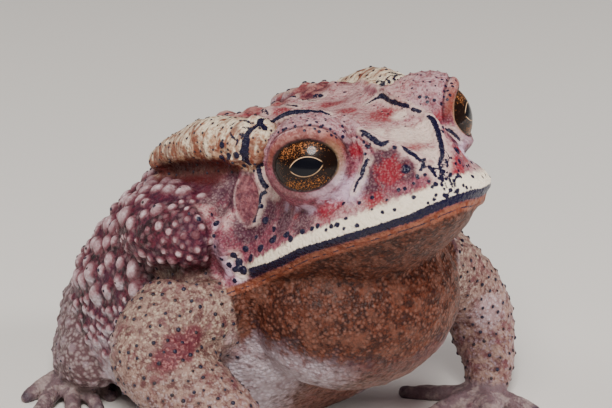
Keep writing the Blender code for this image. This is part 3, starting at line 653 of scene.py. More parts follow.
def regions(places, normals):
    """How much each point belongs to each region of the body, from 0 to 1."""
    local = to_head(places)
    out = {}
    glands = np.min([smooth_reach(places, gland_front(side) + gland_rows(side)) for side in (-1, 1)], axis=0)
    out["gland"] = 1 - ease(glands, 0.3, 1.1)
    arms = np.minimum(smooth_reach(places, RIGHT_ARM[1:]), smooth_reach(places, LEFT_ARM[1:]))
    legs = np.min([smooth_reach(places, mirrored(rows, side)) for side in (-1, 1)
                   for rows in (THIGH, SHANK, TARSUS)], axis=0)
    digits, tips = [], []
    for side, arm in ((-1, RIGHT_ARM), (1, LEFT_ARM)):
        for rows in finger_rows(side, arm[-1][:2]) + toe_rows(side):
            digits.append(smooth_reach(places, rows))
            tips.append(np.linalg.norm(places - np.array(rows[-1][:3]), axis=1))
    digits = np.min(digits, axis=0)
    out["arm"] = (1 - ease(arms, 0.5, 2.0)) * (1 - ease(places[:, 2], 28.2, 30.0))
    out["leg"] = 1 - ease(legs, 0.2, 1.4)
    out["hand"] = (1 - ease(digits, 0.3, 1.2)) * (places[:, 2] < 5)
    out["tip"] = 1 - ease(np.min(tips, axis=0), 0.6, 1.3)
    ahead = ease(local[:, 0], -6.0, -4.0) * (1 - ease(np.abs(local[:, 1]) - jaw_widths(local), 1.6, 2.6))
    over_lip = ease(local[:, 2] - lip_edge(local), -0.9, -0.3)
    out["face"] = ahead * over_lip
    chest = ease(places[:, 2] - 18.0 - 0.012 * places[:, 0] ** 2, -4.0, 4.0)
    out["throat"] = ahead * (1 - over_lip) * chest
    out["face"] *= 1 - out["gland"]
    below = ease(-normals[:, 2] - 0.55 * normals[:, 1], -0.05, 0.5) * (1 - out["arm"]) * (1 - out["leg"])
    below *= (1 - out["face"]) * (1 - ease(places[:, 2], 23, 27))
    out["throat"] = np.maximum(out["throat"], below * chest)
    out["belly"] = below * (1 - out["throat"])
    out["dorsal"] = (ease(normals[:, 2], 0.55, 0.8) * (1 - ease(np.abs(places[:, 0]), 10, 14))
                     * (1 - out["face"]))
    return out


def wart_places(mesh):
    """Seeded places for the warts, as rows of place, radius and height."""
    places, normals = mesh_points(mesh)
    part = regions(places, normals)
    local = to_head(places)
    kind = np.full(len(places), "", dtype="<U6")
    body = (part["face"] < 0.1) & (part["throat"] < 0.2) & (part["gland"] < 0.3) & (part["hand"] < 0.2)
    body &= (part["belly"] < 0.5) & (places[:, 2] > 2.5)
    kind[body] = "flank"
    kind[body & (normals[:, 2] > 0.15) & (places[:, 1] > 10)] = "ridge"
    kind[body & (normals[:, 2] > 0.55) & (np.abs(places[:, 0]) < 13)] = "back"
    kind[both_reach(places, FOLDS[2][2]) < 2.2] = ""
    kind[part["gland"] > 0.7] = "gland"
    kind[body & (part["leg"] > 0.5)] = "leg"
    kind[body & (part["arm"] > 0.4)] = "arm"
    for side in (-1, 1):
        outside, _, above, reach, _ = lid_measures(local, side)
        kind[(part["face"] > 0.6) & (outside > 2.2) & (above > 0.2) & (reach < 8.5)] = "lid"
    rng = np.random.default_rng(WART_SEED)
    found, cells = [], {}
    for i in rng.permutation(len(places))[:WART_TRIES]:
        if not kind[i]:
            continue
        room, radius, height = WART_KINDS[kind[i]]
        place = places[i]
        scale = 0.7 + 0.6 * rng.random()
        room *= 0.5 + 0.5 * scale
        cell = tuple((place // SEARCH_CELL).astype(int))
        around = itertools.product(*((at - 1, at, at + 1) for at in cell))
        near = [(*found[k][0], found[k][3]) for other in around for k in cells.get(other, ())]
        near = np.array(near).reshape(-1, 4)
        away = ((near[:, :3] - place) ** 2).sum(axis=1)
        if (away > np.maximum(near[:, 3], room) ** 2).all():
            cells.setdefault(cell, []).append(len(found))
            found.append((place, radius * scale, height * scale, room, kind[i]))
    return found


def wart_profile(places, warts):
    """Height of the warts and their rounded shape, 1 at each top, at every point."""
    finder = KDTree(len(warts))
    for i, wart in enumerate(warts):
        finder.insert(wart[0], i)
    finder.balance()
    height, shape = np.zeros(len(places)), np.zeros(len(places))
    for i, place in enumerate(places):
        for _, k, away in finder.find_n(place, 2):
            radius, tall = warts[k][1:3]
            if away < radius * WART_FOOT:
                dome = max(1 - (away / (radius * WART_FOOT)) ** 2, 0) ** 1.3
                height[i] = max(height[i], tall * dome)
                shape[i] = max(shape[i], dome)
    return height, shape


warts = wart_places(skin.data)
places, normals = mesh_points(skin.data)
rise, _ = wart_profile(places, warts)
rough = np.array([sum(noise.noise(Vector(p) * often) * high for often, high in UNEVENNESS) for p in places])
smoothed = np.maximum(regions(places, normals)["face"], 0.35)
put_points(skin.data, places + normals * (rise + rough * (1.35 - smoothed))[:, None])


# Markings. Blue-black lines follow the crests, beads and a black edge line the lip, and patches of
# crimson, cream, lilac and purple lie on the face. Each is kept as a measure on the skin's points.
# Forward, left, up and half width along each inked line, by the side of the head. Three in four of
# these points, all dashes and spots, and half of the patches were placed as the beads were.
INK_LINES = {
    -1: [
        [(2.0, -10.6, 13.2, 0.5), (1.6, -9.6, 14.1, 0.45), (2.6, -8.8, 14.8, 0.45), (5.3, -7.5, 15.7, 0.5),
         (9.0, -6.5, 15.8, 0.45), (12.2, -5.8, 15.1, 0.2)],
        [(2.1, -10.9, 13.5, 0.35), (1.8, -11.7, 13.0, 0.5), (1.0, -12.1, 12.2, 0.6), (0.9, -11.6, 11.4, 0.5),
         (0.7, -11.2, 10.6, 0.45)],
        [(0.7, -11.2, 10.6, 0.35), (1.1, -11.5, 10.1, 0.35), (1.9, -12.1, 8.9, 0.35),
         (2.7, -12.5, 7.6, 0.35), (3.3, -12.5, 6.6, 0.42)],
        [(3.5, -12.9, 5.9, 0.3), (3.3, -13.7, 5.7, 0.3), (3.4, -14.2, 4.6, 0.25), (3.0, -14.9, 3.7, 0.2),
         (2.9, -15.4, 2.8, 0.3)],
        [(18.2, -5.4, 12.4, 0.2), (19.3, -5.3, 11.9, 0.35), (20.6, -5.2, 11.1, 0.4),
         (21.5, -5.0, 10.6, 0.35), (21.8, -4.1, 10.6, 0.25)],
        [(21.6, -2.6, 9.8, 0.28), (23.4, -2.9, 9.4, 0.33), (24.5, -2.6, 8.6, 0.33), (25.4, -2.3, 7.7, 0.22)],
        [(25.6, -1.6, 7.7, 0.2), (25.7, -2.3, 7.0, 0.22), (25.9, -2.9, 6.5, 0.2)],
        [(20.1, -6.6, 9.0, 0.22), (20.0, -7.4, 8.2, 0.28), (20.0, -7.9, 7.4, 0.3)],
        [(20.0, -8.0, 7.1, 0.18), (19.6, -8.7, 6.4, 0.2), (19.3, -9.3, 5.4, 0.14)],
    ],
    1: [
        [(8.2, 3.0, 13.9, 0.1), (8.6, 4.3, 14.4, 0.3), (10.2, 4.9, 14.6, 0.42), (13.6, 4.6, 13.9, 0.38),
         (16.0, 4.6, 13.1, 0.3)],
        [(16.8, 4.6, 12.7, 0.28), (18.2, 4.7, 12.2, 0.28)],
        [(19.9, 4.5, 11.8, 0.3), (21.1, 4.3, 11.1, 0.4), (23.4, 3.0, 9.6, 0.38), (25.6, 1.3, 7.7, 0.36),
         (25.9, 0.1, 6.3, 0.2)],
        [(18.6, 7.9, 9.1, 0.2), (18.6, 8.5, 8.6, 0.25), (18.7, 9.2, 7.8, 0.2), (18.4, 9.8, 7.0, 0.15)],
        [(26.0, -1.5, 6.6, 0.25), (26.2, -1.3, 5.9, 0.3), (26.6, -1.3, 5.2, 0.22)],
        [(26.1, 0.1, 6.0, 0.15), (26.5, 0.1, 5.4, 0.25), (27.0, -0.9, 4.3, 0.2)],
        [(26.9, 0.3, 4.6, 0.15), (27.2, 0.5, 3.9, 0.18), (27.3, 0.7, 3.0, 0.12)],
        [(8.4, 6.2, 14.9, 0.35), (5.6, 7.0, 15.0, 0.35), (3.4, 8.2, 14.4, 0.4), (1.8, 10.6, 13.2, 0.6),
         (1.0, 12.0, 12.0, 0.8), (0.8, 11.4, 10.6, 0.45), (1.9, 12.2, 8.8, 0.35), (3.2, 12.6, 6.8, 0.4)],
    ],
}

# Short dashes and flat spots on the gland, the lids, the snout's tip and the neck, given on the right
# side and repeated on the left, and patches: forward, left, up and half width or radius
DASHES = [
    [(-3.3, -12.5, 16.1, 0.07), (-3.3, -11.3, 16.2, 0.14)],
    [(-1.2, -13.2, 15.4, 0.09), (-0.7, -12.5, 15.6, 0.15)],
    [(-0.6, -11.5, 15.8, 0.12), (1.6, -11.4, 15.3, 0.19)],
    [(1.1, -12.5, 15.0, 0.14), (2.5, -11.8, 14.7, 0.20)],
    [(1.2, -13.3, 14.3, 0.19), (2.6, -12.8, 14.0, 0.19)],
    [(-0.5, -13.7, 14.7, 0.09), (0.2, -13.9, 14.0, 0.18), (1.1, -13.8, 13.4, 0.16),
     (0.7, -14.2, 12.7, 0.09)],
    [(-10.9, -15.8, 13.0, 0.09), (-12.0, -15.6, 11.6, 0.09)],
    [(-4.6, -14.4, 15.2, 0.07), (-4.0, -14.1, 15.4, 0.09)],
    [(-4.6, -13.0, 16.1, 0.07), (-4.7, -12.2, 16.3, 0.11)],
    [(-2.0, -14.7, 11.7, 0.19), (-2.6, -14.3, 10.7, 0.19)],
    [(-2.5, -14.1, 14.9, 0.07), (-2.0, -13.7, 15.2, 0.11)],
    [(1.3, -14.0, 12.1, 0.16), (1.3, -14.0, 11.7, 0.16)],
    [(-5.1, -2.0, 15.3, 0.22), (-3.7, -1.4, 15.2, 0.31), (-1.3, -1.6, 15.0, 0.15)],
    [(-5.7, 4.6, 15.1, 0.37), (-4.4, 4.8, 14.9, 0.37)],
    [(-6.7, -4.1, 15.2, 0.19), (-5.8, -3.6, 15.3, 0.22)],
    [(25.5, -2.0, 7.6, 0.12), (25.8, -2.1, 6.7, 0.14)],
    [(26.0, -1.5, 6.5, 0.22), (26.3, -1.0, 5.7, 0.19)],
    [(26.0, 0.5, 6.1, 0.14), (26.6, -0.6, 5.2, 0.19)], [(27.0, 0.5, 4.6, 0.14), (27.3, 0.4, 3.4, 0.09)],
    [(25.9, 1.4, 6.7, 0.09), (26.0, 0.8, 6.1, 0.15)],
]
SPOTS = [
    (-1.6, -15.0, 13.2, 0.36), (0.8, -14.4, 11.6, 0.44), (1.1, -13.5, 10.7, 0.30),
    (-2.6, -13.6, 10.0, 0.32), (-8.6, -14.7, 15.1, 0.20), (-6.5, -14.1, 15.7, 0.20),
    (-14.7, -15.4, 13.0, 0.20), (-16.8, -15.5, 11.9, 0.16), (-15.3, -15.2, 11.1, 0.16),
    (-7.0, -15.4, 14.0, 0.16), (-9.8, -15.2, 14.3, 0.16), (-12.7, -15.2, 14.0, 0.16),
    (-9.4, -15.6, 12.7, 0.18), (-6.7, -15.5, 12.6, 0.16), (-4.5, -15.1, 13.9, 0.16),
    (-3.4, -15.2, 12.6, 0.16), (-9.0, -14.8, 11.0, 0.20), (-17.9, -15.1, 12.9, 0.16),
    (-19.5, -15.2, 11.3, 0.16), (-0.5, -14.4, 13.3, 0.16), (-5.4, -14.9, 11.0, 0.16),
    (-9.7, -6.5, 15.5, 0.28), (-5.4, 8.0, 15.7, 0.20), (-6.0, 2.7, 14.9, 0.16), (-1.6, 6.8, 14.9, 0.20),
    (4.2, 5.3, 14.8, 0.16), (1.4, 1.9, 14.4, 0.16), (-9.0, -4.6, 15.1, 0.16), (-8.2, 5.4, 16.0, 0.24),
    (-4.4, -20.8, 5.2, 0.24), (-2.6, -20.3, 4.3, 0.30), (-4.1, -17.7, 5.6, 0.20),
    (-7.9, -20.1, 7.1, 0.18), (-2.9, -18.0, 4.2, 0.24), (-2.4, -18.2, 2.9, 0.24),
    (-1.8, -19.1, 1.5, 0.24), (-4.2, -22.2, 3.4, 0.16), (16.4, 10.6, 15.4, 0.16), (17.0, 10.6, 14.5, 0.16),
    (15.6, 10.3, 15.8, 0.14), (16.1, 8.7, 15.5, 0.14), (16.4, 6.3, 14.0, 0.20),
    (17.0, 6.9, 13.8, 0.18), (17.3, 6.7, 13.2, 0.18), (17.8, 7.5, 13.2, 0.18), (18.1, 8.2, 12.5, 0.20),
    (18.3, 9.9, 13.3, 0.16), (18.4, 9.2, 12.9, 0.16), (14.8, 6.5, 15.2, 0.12), (12.3, 7.4, 16.1, 0.12),
    (13.9, 9.1, 16.4, 0.12), (13.0, -13.7, 14.9, 0.16), (13.4, -13.5, 15.0, 0.14),
    (14.3, -13.5, 14.8, 0.16), (14.4, -12.7, 15.0, 0.16), (15.5, -12.6, 14.8, 0.18),
    (16.1, -12.6, 14.4, 0.14), (15.8, -11.4, 14.8, 0.16), (16.8, -11.6, 14.3, 0.16),
    (17.2, -11.2, 13.9, 0.18), (17.6, -10.2, 13.7, 0.14), (17.1, -9.4, 13.8, 0.14),
    (15.3, -11.4, 15.3, 0.12), (12.4, -14.1, 14.6, 0.12), (17.5, -9.1, 13.1, 0.12),
    (16.6, -10.1, 14.4, 0.12), (18.9, -5.8, 11.1, 0.18), (19.3, -5.9, 10.6, 0.16),
    (20.0, -5.7, 10.8, 0.14), (18.8, -5.8, 12.0, 0.16), (20.6, -5.4, 10.4, 0.16),
    (22.9, -4.0, 9.8, 0.22), (17.7, -5.9, 11.8, 0.12), (18.0, -1.8, 11.2, 0.12),
    (27.2, -1.0, 4.0, 0.22), (27.1, -1.7, 4.3, 0.20), (26.9, -2.4, 4.1, 0.18), (27.4, -1.2, 2.7, 0.22),
    (27.2, -2.3, 3.0, 0.20), (27.4, -0.1, 3.0, 0.22), (27.3, 0.9, 3.4, 0.16), (27.3, -2.8, 2.5, 0.20),
    (27.4, -0.9, 2.1, 0.20), (26.2, -2.6, 5.8, 0.20), (25.7, -3.5, 5.9, 0.20), (25.8, 2.3, 6.7, 0.16),
    (26.9, -0.0, 4.5, 0.22), (26.8, -1.0, 4.9, 0.20), (26.6, -2.5, 4.9, 0.16), (27.4, 0.6, 2.5, 0.16),
    (25.6, -4.2, 5.1, 0.16), (27.3, -2.0, 1.8, 0.18), (26.9, -3.6, 2.3, 0.16),
]
PATCHES = {
    "crimson": [(13.5, 2.0, 12.7, 2.6), (21.9, -0.1, 9.3, 1.9), (14.8, 3.8, 12.9, 1.7),
                (23.0, -5.7, 6.9, 2.3), (22.4, -8.4, 3.5, 1.8), (16.1, -11.6, 3.3, 1.9),
                (26.4, -4.0, 3.5, 1.2), (26.4, 2.6, 5.3, 1.9), (18.3, 7.6, 11.3, 1.2),
                (18.4, -7.0, 10.3, 1.2), (10.8, -13.0, 2.8, 0.8), (17.5, -10.8, 3.6, 1.0),
                (23.0, 6.0, 6.5, 2.2), (8.0, 0.0, 13.8, 1.5), (2.0, 2.0, 14.2, 2.2),
                (-3.0, -3.0, 14.0, 2.2)],
    "purple": [(3.9, -13.5, 3.3, 2.3), (22.1, -5.4, 8.5, 2.2), (21.4, -7.2, 6.3, 2.2),
               (24.5, -4.4, 6.9, 1.6), (12.3, -13.4, 2.0, 2.2), (2.9, -15.0, 1.7, 1.8),
               (1.4, -15.8, 1.1, 1.8), (20.4, 8.0, 6.2, 2.4), (-1.8, -14.6, 5.6, 2.2),
               (18.3, -7.7, 11.2, 1.5), (8.5, -14.0, 2.2, 2.0), (16.0, 11.5, 2.8, 3.0),
               (0.2, -13.6, 9.0, 1.5), (0.4, -15.8, 1.8, 1.8), (-3.2, -15.5, 3.0, 2.2),
               (-4.5, -15.5, 7.1, 2.0), (-3.5, -13.8, 7.7, 1.8), (-5.2, -17.0, 6.1, 1.8)],
    "cream": [(20.6, 3.0, 10.3, 2.0), (19.8, 0.2, 10.4, 2.6), (17.4, -2.7, 11.5, 1.6), (24.5, 0.1, 7.7, 1.5),
              (2.4, -10.2, 13.0, 1.0), (3.4, -11.8, 10.6, 1.5), (4.4, -12.4, 8.4, 1.5),
              (5.2, -13.0, 6.2, 1.4), (21.0, 2.0, 9.8, 2.2), (0.5, -17.5, -4.0, 1.2),
              (-0.5, -17.5, -1.5, 1.2), (26.2, -0.4, 5.6, 1.4), (15.5, 3.0, 12.4, 1.2),
              (3.2, 11.8, 10.6, 1.2), (4.6, 12.6, 8.0, 1.2)],
    "lilac": [(-1.8, -18.2, -0.2, 1.6), (-0.7, -19.5, -3.0, 1.8), (-2.5, -17.5, 2.0, 1.3),
              (0.5, -18.5, -5.0, 1.4), (18.7, -9.5, 5.6, 1.7), (16.5, -11.4, 4.8, 1.7),
              (18.4, -10.5, 7.2, 1.0), (19.5, -8.5, 6.7, 1.0), (13.5, -12.9, 4.4, 1.2),
              (10.5, -13.4, 4.2, 0.9), (8.0, -13.4, 4.6, 0.9), (18.5, 9.6, 5.4, 1.9),
              (14.0, 12.6, 4.4, 2.0)],
}
# The line of the hollow under each gland, along which shade is painted
HOLLOW = [(15.1, 20.5, 38.0), (15, 18.5, 38.7), (15.1, 14, 40), (15.2, 10.7, 41), (15.1, 7.6, 42),
          (15, 4.5, 43)]
HOLLOW_WIDTH = 3.2
# x, y, z and radius of patches on the body's left half: dark blotches, and pale patches of painted sheen on
# the arms
BODY_PATCHES = {
    "blotch": [(27.4, -2.0, 21.8, 2.6), (25.0, -1.8, 22.7, 1.8), (29.8, -2.3, 20.7, 2.2)],
    "sheen_patch": [(17.5, -0.6, 17.9, 2.4), (19.0, -3.0, 21.0, 1.6), (16.0, 0.5, 14.0, 2.4),
              (31.0, 6.5, 20.0, 2.4), (27.4, -0.6, 14.0, 3.2)],
}


def glow(points, spots):
    """Soft round patches: 1 in the middle of each and fading outwards."""
    out = np.zeros(len(points))
    for *middle, radius in spots:
        away = np.linalg.norm(points - np.array(middle), axis=1)
        out = np.maximum(out, np.exp(-(away / radius) ** 2))
    return out


def spot_reach(points, spots):
    """How far every point lies outside the nearest of some round spots."""
    best = np.full(len(points), FAR)
    for *middle, radius in spots:
        best = np.minimum(best, np.linalg.norm(points - np.array(middle), axis=1) - radius)
    return best


def lid_outside(local):
    """Distance outside the nearer eye's lids, and how far above and towards the snout it lies."""
    right, left = (lid_measures(local, side) for side in (-1, 1))
    right_out, left_out = (np.where(m[3] < 9.5, m[0], FAR) for m in (right, left))
    pick = right_out < left_out
    above, nasal = np.where(pick, right[2], left[2]), np.where(pick, right[1], -left[1])
    return np.minimum(right_out, left_out), above, nasal


def mark_reach(local, tree):
    """How far every point lies outside the inked lines and outside the beads and spots."""
    sides = (-1, 1)
    dashes = [[(f, side * l, u, half) for f, l, u, half in dash] for side in sides for dash in DASHES]
    lines = [laid_on(tree, line) for line in INK_LINES[-1] + INK_LINES[1] + dashes]
    beads = [(*on_skin(tree, bead, side), radius) for side in sides for *bead, radius in BEADS + SPOTS]
    return np.min([line_reach(local, line) for line in lines], axis=0), spot_reach(local, beads)


# Thinning and the flat rests. The body is thinned to keep the piece light, and so is the plain skin
# of the head between its marks, and what lies under the floor is cut away so that the toad sits flat.
SKIN_TRIANGLES = 190000
BODY_TRIANGLES = 118000


def triangle_count(mesh, chosen=None):
    """Triangles of a mesh, or of those of its faces that start at a chosen point."""
    return sum(p.loop_total - 2 for p in mesh.polygons if chosen is None or chosen[p.vertices[0]])


def head_points(mesh):
    """The points of the head, ahead of the neck and above the throat."""
    local = to_head(mesh_points(mesh)[0])
    return (local[:, 0] > -3) & (local[:, 2] > -7)


def plain_points(mesh):
    """The head's points that no line, spot, lid or lip edge needs."""
    local = to_head(mesh_points(mesh)[0])
    ink, bead = mark_reach(local, skin_tree())
    lid = lid_outside(local)[0]
    marked = (np.minimum(ink, bead) < 0.5) | ((lid > -0.5) & (lid < 0.9))
    marked |= np.abs(local[:, 2] - lip_edge(local) + 0.2) < 1.1
    return head_points(mesh) & ~marked


def thin_out(thing, chosen, triangles):
    """Thins the chosen part of a mesh until the whole has no more than so many triangles."""
    group = thing.vertex_groups.new(name="thinned")
    group.add(np.nonzero(chosen)[0].tolist(), 1.0, "REPLACE")
    thin = thing.modifiers.new("thin", "DECIMATE")
    thin.ratio = triangles / triangle_count(thing.data)
    thin.vertex_group = "thinned"
    thin.vertex_group_factor = 1.0
    baked(thing)
    thing.vertex_groups.clear()


def cut_flat_below(thing):
    """Cuts away what lies under the floor and closes the cuts with flat faces."""
    bm = bmesh.new()
    bm.from_mesh(thing.data)
    geometry = bm.verts[:] + bm.edges[:] + bm.faces[:]
    cut = bmesh.ops.bisect_plane(bm, geom=geometry, dist=1e-6, plane_co=(0, 0, 0), plane_no=(0, 0, -1),
                                 clear_outer=True)
    edges = [e for e in cut["geom_cut"] if isinstance(e, bmesh.types.BMEdge)]
    bmesh.ops.holes_fill(bm, edges=edges, sides=0)
    bmesh.ops.triangulate(bm, faces=[f for f in bm.faces if len(f.verts) > 4])
    for face in bm.faces:
        face.smooth = True
    bm.to_mesh(thing.data)
    bm.free()


head = head_points(skin.data)
thin_out(skin, ~head, triangle_count(skin.data, head) + BODY_TRIANGLES)
thin_out(skin, plain_points(skin.data), SKIN_TRIANGLES)
cut_flat_below(skin)


def keep_measures(mesh):
    """Writes every measure that the skin's paint needs onto the mesh's points."""
    tree = skin_tree()
    places, normals = mesh_points(mesh)
    local = to_head(places)
    measures = regions(places, normals)
    measures["upward"] = normals[:, 2]
    measures["ink"], measures["bead"] = mark_reach(local, tree)
    # Nearness to the folds and to the hollow under each gland, for the painted shade there
    folds = [np.exp(-(both_reach(places, line) / (width + 0.9)) ** 2) for _, width, line in FOLDS]
    measures["fold"] = np.max(folds, axis=0)
    measures["hollow_shade"] = np.exp(-(both_reach(places, HOLLOW) / HOLLOW_WIDTH) ** 2)
    for word, spots in BODY_PATCHES.items():
        measures[word] = glow(places, mirrored(spots, -1) + spots)
    for word, spots in PATCHES.items():
        measures[word] = glow(local, spots)
    above = local[:, 2] - lip_edge(local)
    rim = (np.abs(local[:, 1]) > jaw_widths(local) - 4.5) & (local[:, 0] > -7)
    rim &= measures["face"] + measures["throat"] > 0.05
    measures["lip"] = np.where(rim, np.clip(above, -FAR, FAR), np.where(above > 0, FAR, -FAR))
    measures["jaw_back"] = local[:, 0]
    measures["lid"], measures["lid_above"], measures["lid_nasal"] = lid_outside(local)
    measures["wart"] = wart_profile(places, warts)[1]
    measures["ear"] = np.minimum(*(ear_reach(local, tree, side) for side in (-1, 1)))
    measures["nostril"] = spot_reach(local, [(*on_skin(tree, NOSTRIL, side), 0) for side in (-1, 1)])
    for word, values in measures.items():
        mesh.attributes.new(word, "FLOAT", "POINT").data.foreach_set("value", np.asarray(values, np.float32))


keep_measures(skin.data)


# The skin's paint. Dry, pebbled skin: mauve and cream on the face, crimson-brown with pale warts
# on the flanks, cream glands with black spots, a brown mottled throat and a pale belly. Painted shade
# darkens the folds, the hollows under the glands, the glands' undersides, the upper lids' edges and creases
# and the nostril pits; the arms carry painted sheen and are painted paler higher up.
class Wire:
    """A socket in a material's tree. Sums on it add Math nodes, and node() adds any other kind."""

    def __init__(self, tree, socket=None):
        self.tree = tree
        self.socket = socket

    def node(self, kind, settings=None, sockets=None, out=0):
        node = self.tree.nodes.new("ShaderNode" + kind)
        for key, value in (settings or {}).items():
            setattr(node, key, value)
        for key, value in (sockets or {}).items():
            socket = node.inputs[key]
            if isinstance(value, Wire):
                self.tree.links.new(value.socket, socket)
            elif isinstance(value, tuple) and socket.type == "RGBA":
                socket.default_value = (*value, 1)
            else:
                socket.default_value = value
        return Wire(self.tree, node.outputs[out])

    def sum_of(self, operation, *values):
        return self.node("Math", {"operation": operation}, dict(enumerate(values)))

    def __add__(self, other):
        return self.sum_of("ADD", self, other)

    __radd__ = __add__

    def __sub__(self, other):
        return self.sum_of("SUBTRACT", self, other)

    def __rsub__(self, other):
        return self.sum_of("SUBTRACT", other, self)

    def __mul__(self, other):
        return self.sum_of("MULTIPLY", self, other)

    __rmul__ = __mul__

    def root(self):
        return self.sum_of("SQRT", self)

    def size(self):
        return self.sum_of("ABSOLUTE", self)

    def above(self, other):
        return self.sum_of("MAXIMUM", self, other)

    def rise(self, low, high):
        """0 below low, 1 above high, and smooth between."""
        settings = {"interpolation_type": "SMOOTHSTEP"}
        return self.node("MapRange", settings, {"Value": self, "From Min": low, "From Max": high})

    def fall(self, low, high):
        return 1 - self.rise(low, high)

    def over(self, under, colour):
        """Lays a colour over another one by this mask."""
        return self.node("Mix", {"data_type": "RGBA"}, {0: self, 6: under, 7: colour}, 2)

    def slide(self, low, high, first, last):
        """Goes evenly from first to last while this goes from low to high."""
        return self.node("MapRange", sockets={
            "Value": self, "From Min": low, "From Max": high, "To Min": first, "To Max": last})

    def kept(self, word):
        """A measure that the mesh's points keep."""
        return self.node("Attribute", {"attribute_name": word}, out=2)

    def places(self):
        """Object coordinates in millimetres."""
        metres = self.node("TexCoord", out=3)
        return self.node("VectorMath", {"operation": "SCALE"}, {0: metres, "Scale": 1 / MM})

    def along(self, axis):
        return self.node("SeparateXYZ", sockets={"Vector": self}, out=axis)

    def cloud(self, scale, detail=3, rough=0.55):
        """Noise on these places, about 0.5."""
        return self.node("TexNoise", sockets={
            "Vector": self, "Scale": scale, "Detail": detail, "Roughness": rough})

    def pebbles(self, scale):
        """Distance from the middle of the nearest granule, in granule widths."""
        return self.node("TexVoronoi", sockets={"Vector": self, "Scale": scale})


def layered(base, *layers):
    """Lays colours over a base in turn, each by its mask."""
    for mask, colour in layers:
        base = mask.over(base, colour)
    return base


def new_paint(name):
    """A material, its tree's first wire and its shader."""
    material = bpy.data.materials.new(name)
    material.use_nodes = True
    return material, Wire(material.node_tree), material.node_tree.nodes["Principled BSDF"]


def ridge_line(value, middle, half):
    """1 where a value is close to its middle and 0 beyond its half width."""
    return value.rise(middle - half, middle - half * 0.3) * value.fall(middle + half * 0.3, middle + half)


def set_paint(shader, **values):
    """Sets the shader's sockets, with wires for what varies over the surface."""
    for key, value in values.items():
        socket = shader.inputs[key.replace("_", " ")]
        if isinstance(value, Wire):
            value.tree.links.new(value.socket, socket)
        else:
            socket.default_value = value


INK = (0.007, 0.005, 0.026)
CREAM = (0.85, 0.73, 0.58)
PEARL = (0.56, 0.45, 0.50)
WART = (0.44, 0.29, 0.30)
MAUVE = (0.135, 0.022, 0.042)
PLUM = (0.050, 0.0060, 0.022)
DUSK = (0.015, 0.0025, 0.0060)
CRIMSON = (0.230, 0.0055, 0.018)
LILAC = (0.58, 0.42, 0.54)
UMBER = (0.020, 0.0030, 0.0012)
RUST = (0.178, 0.030, 0.010)


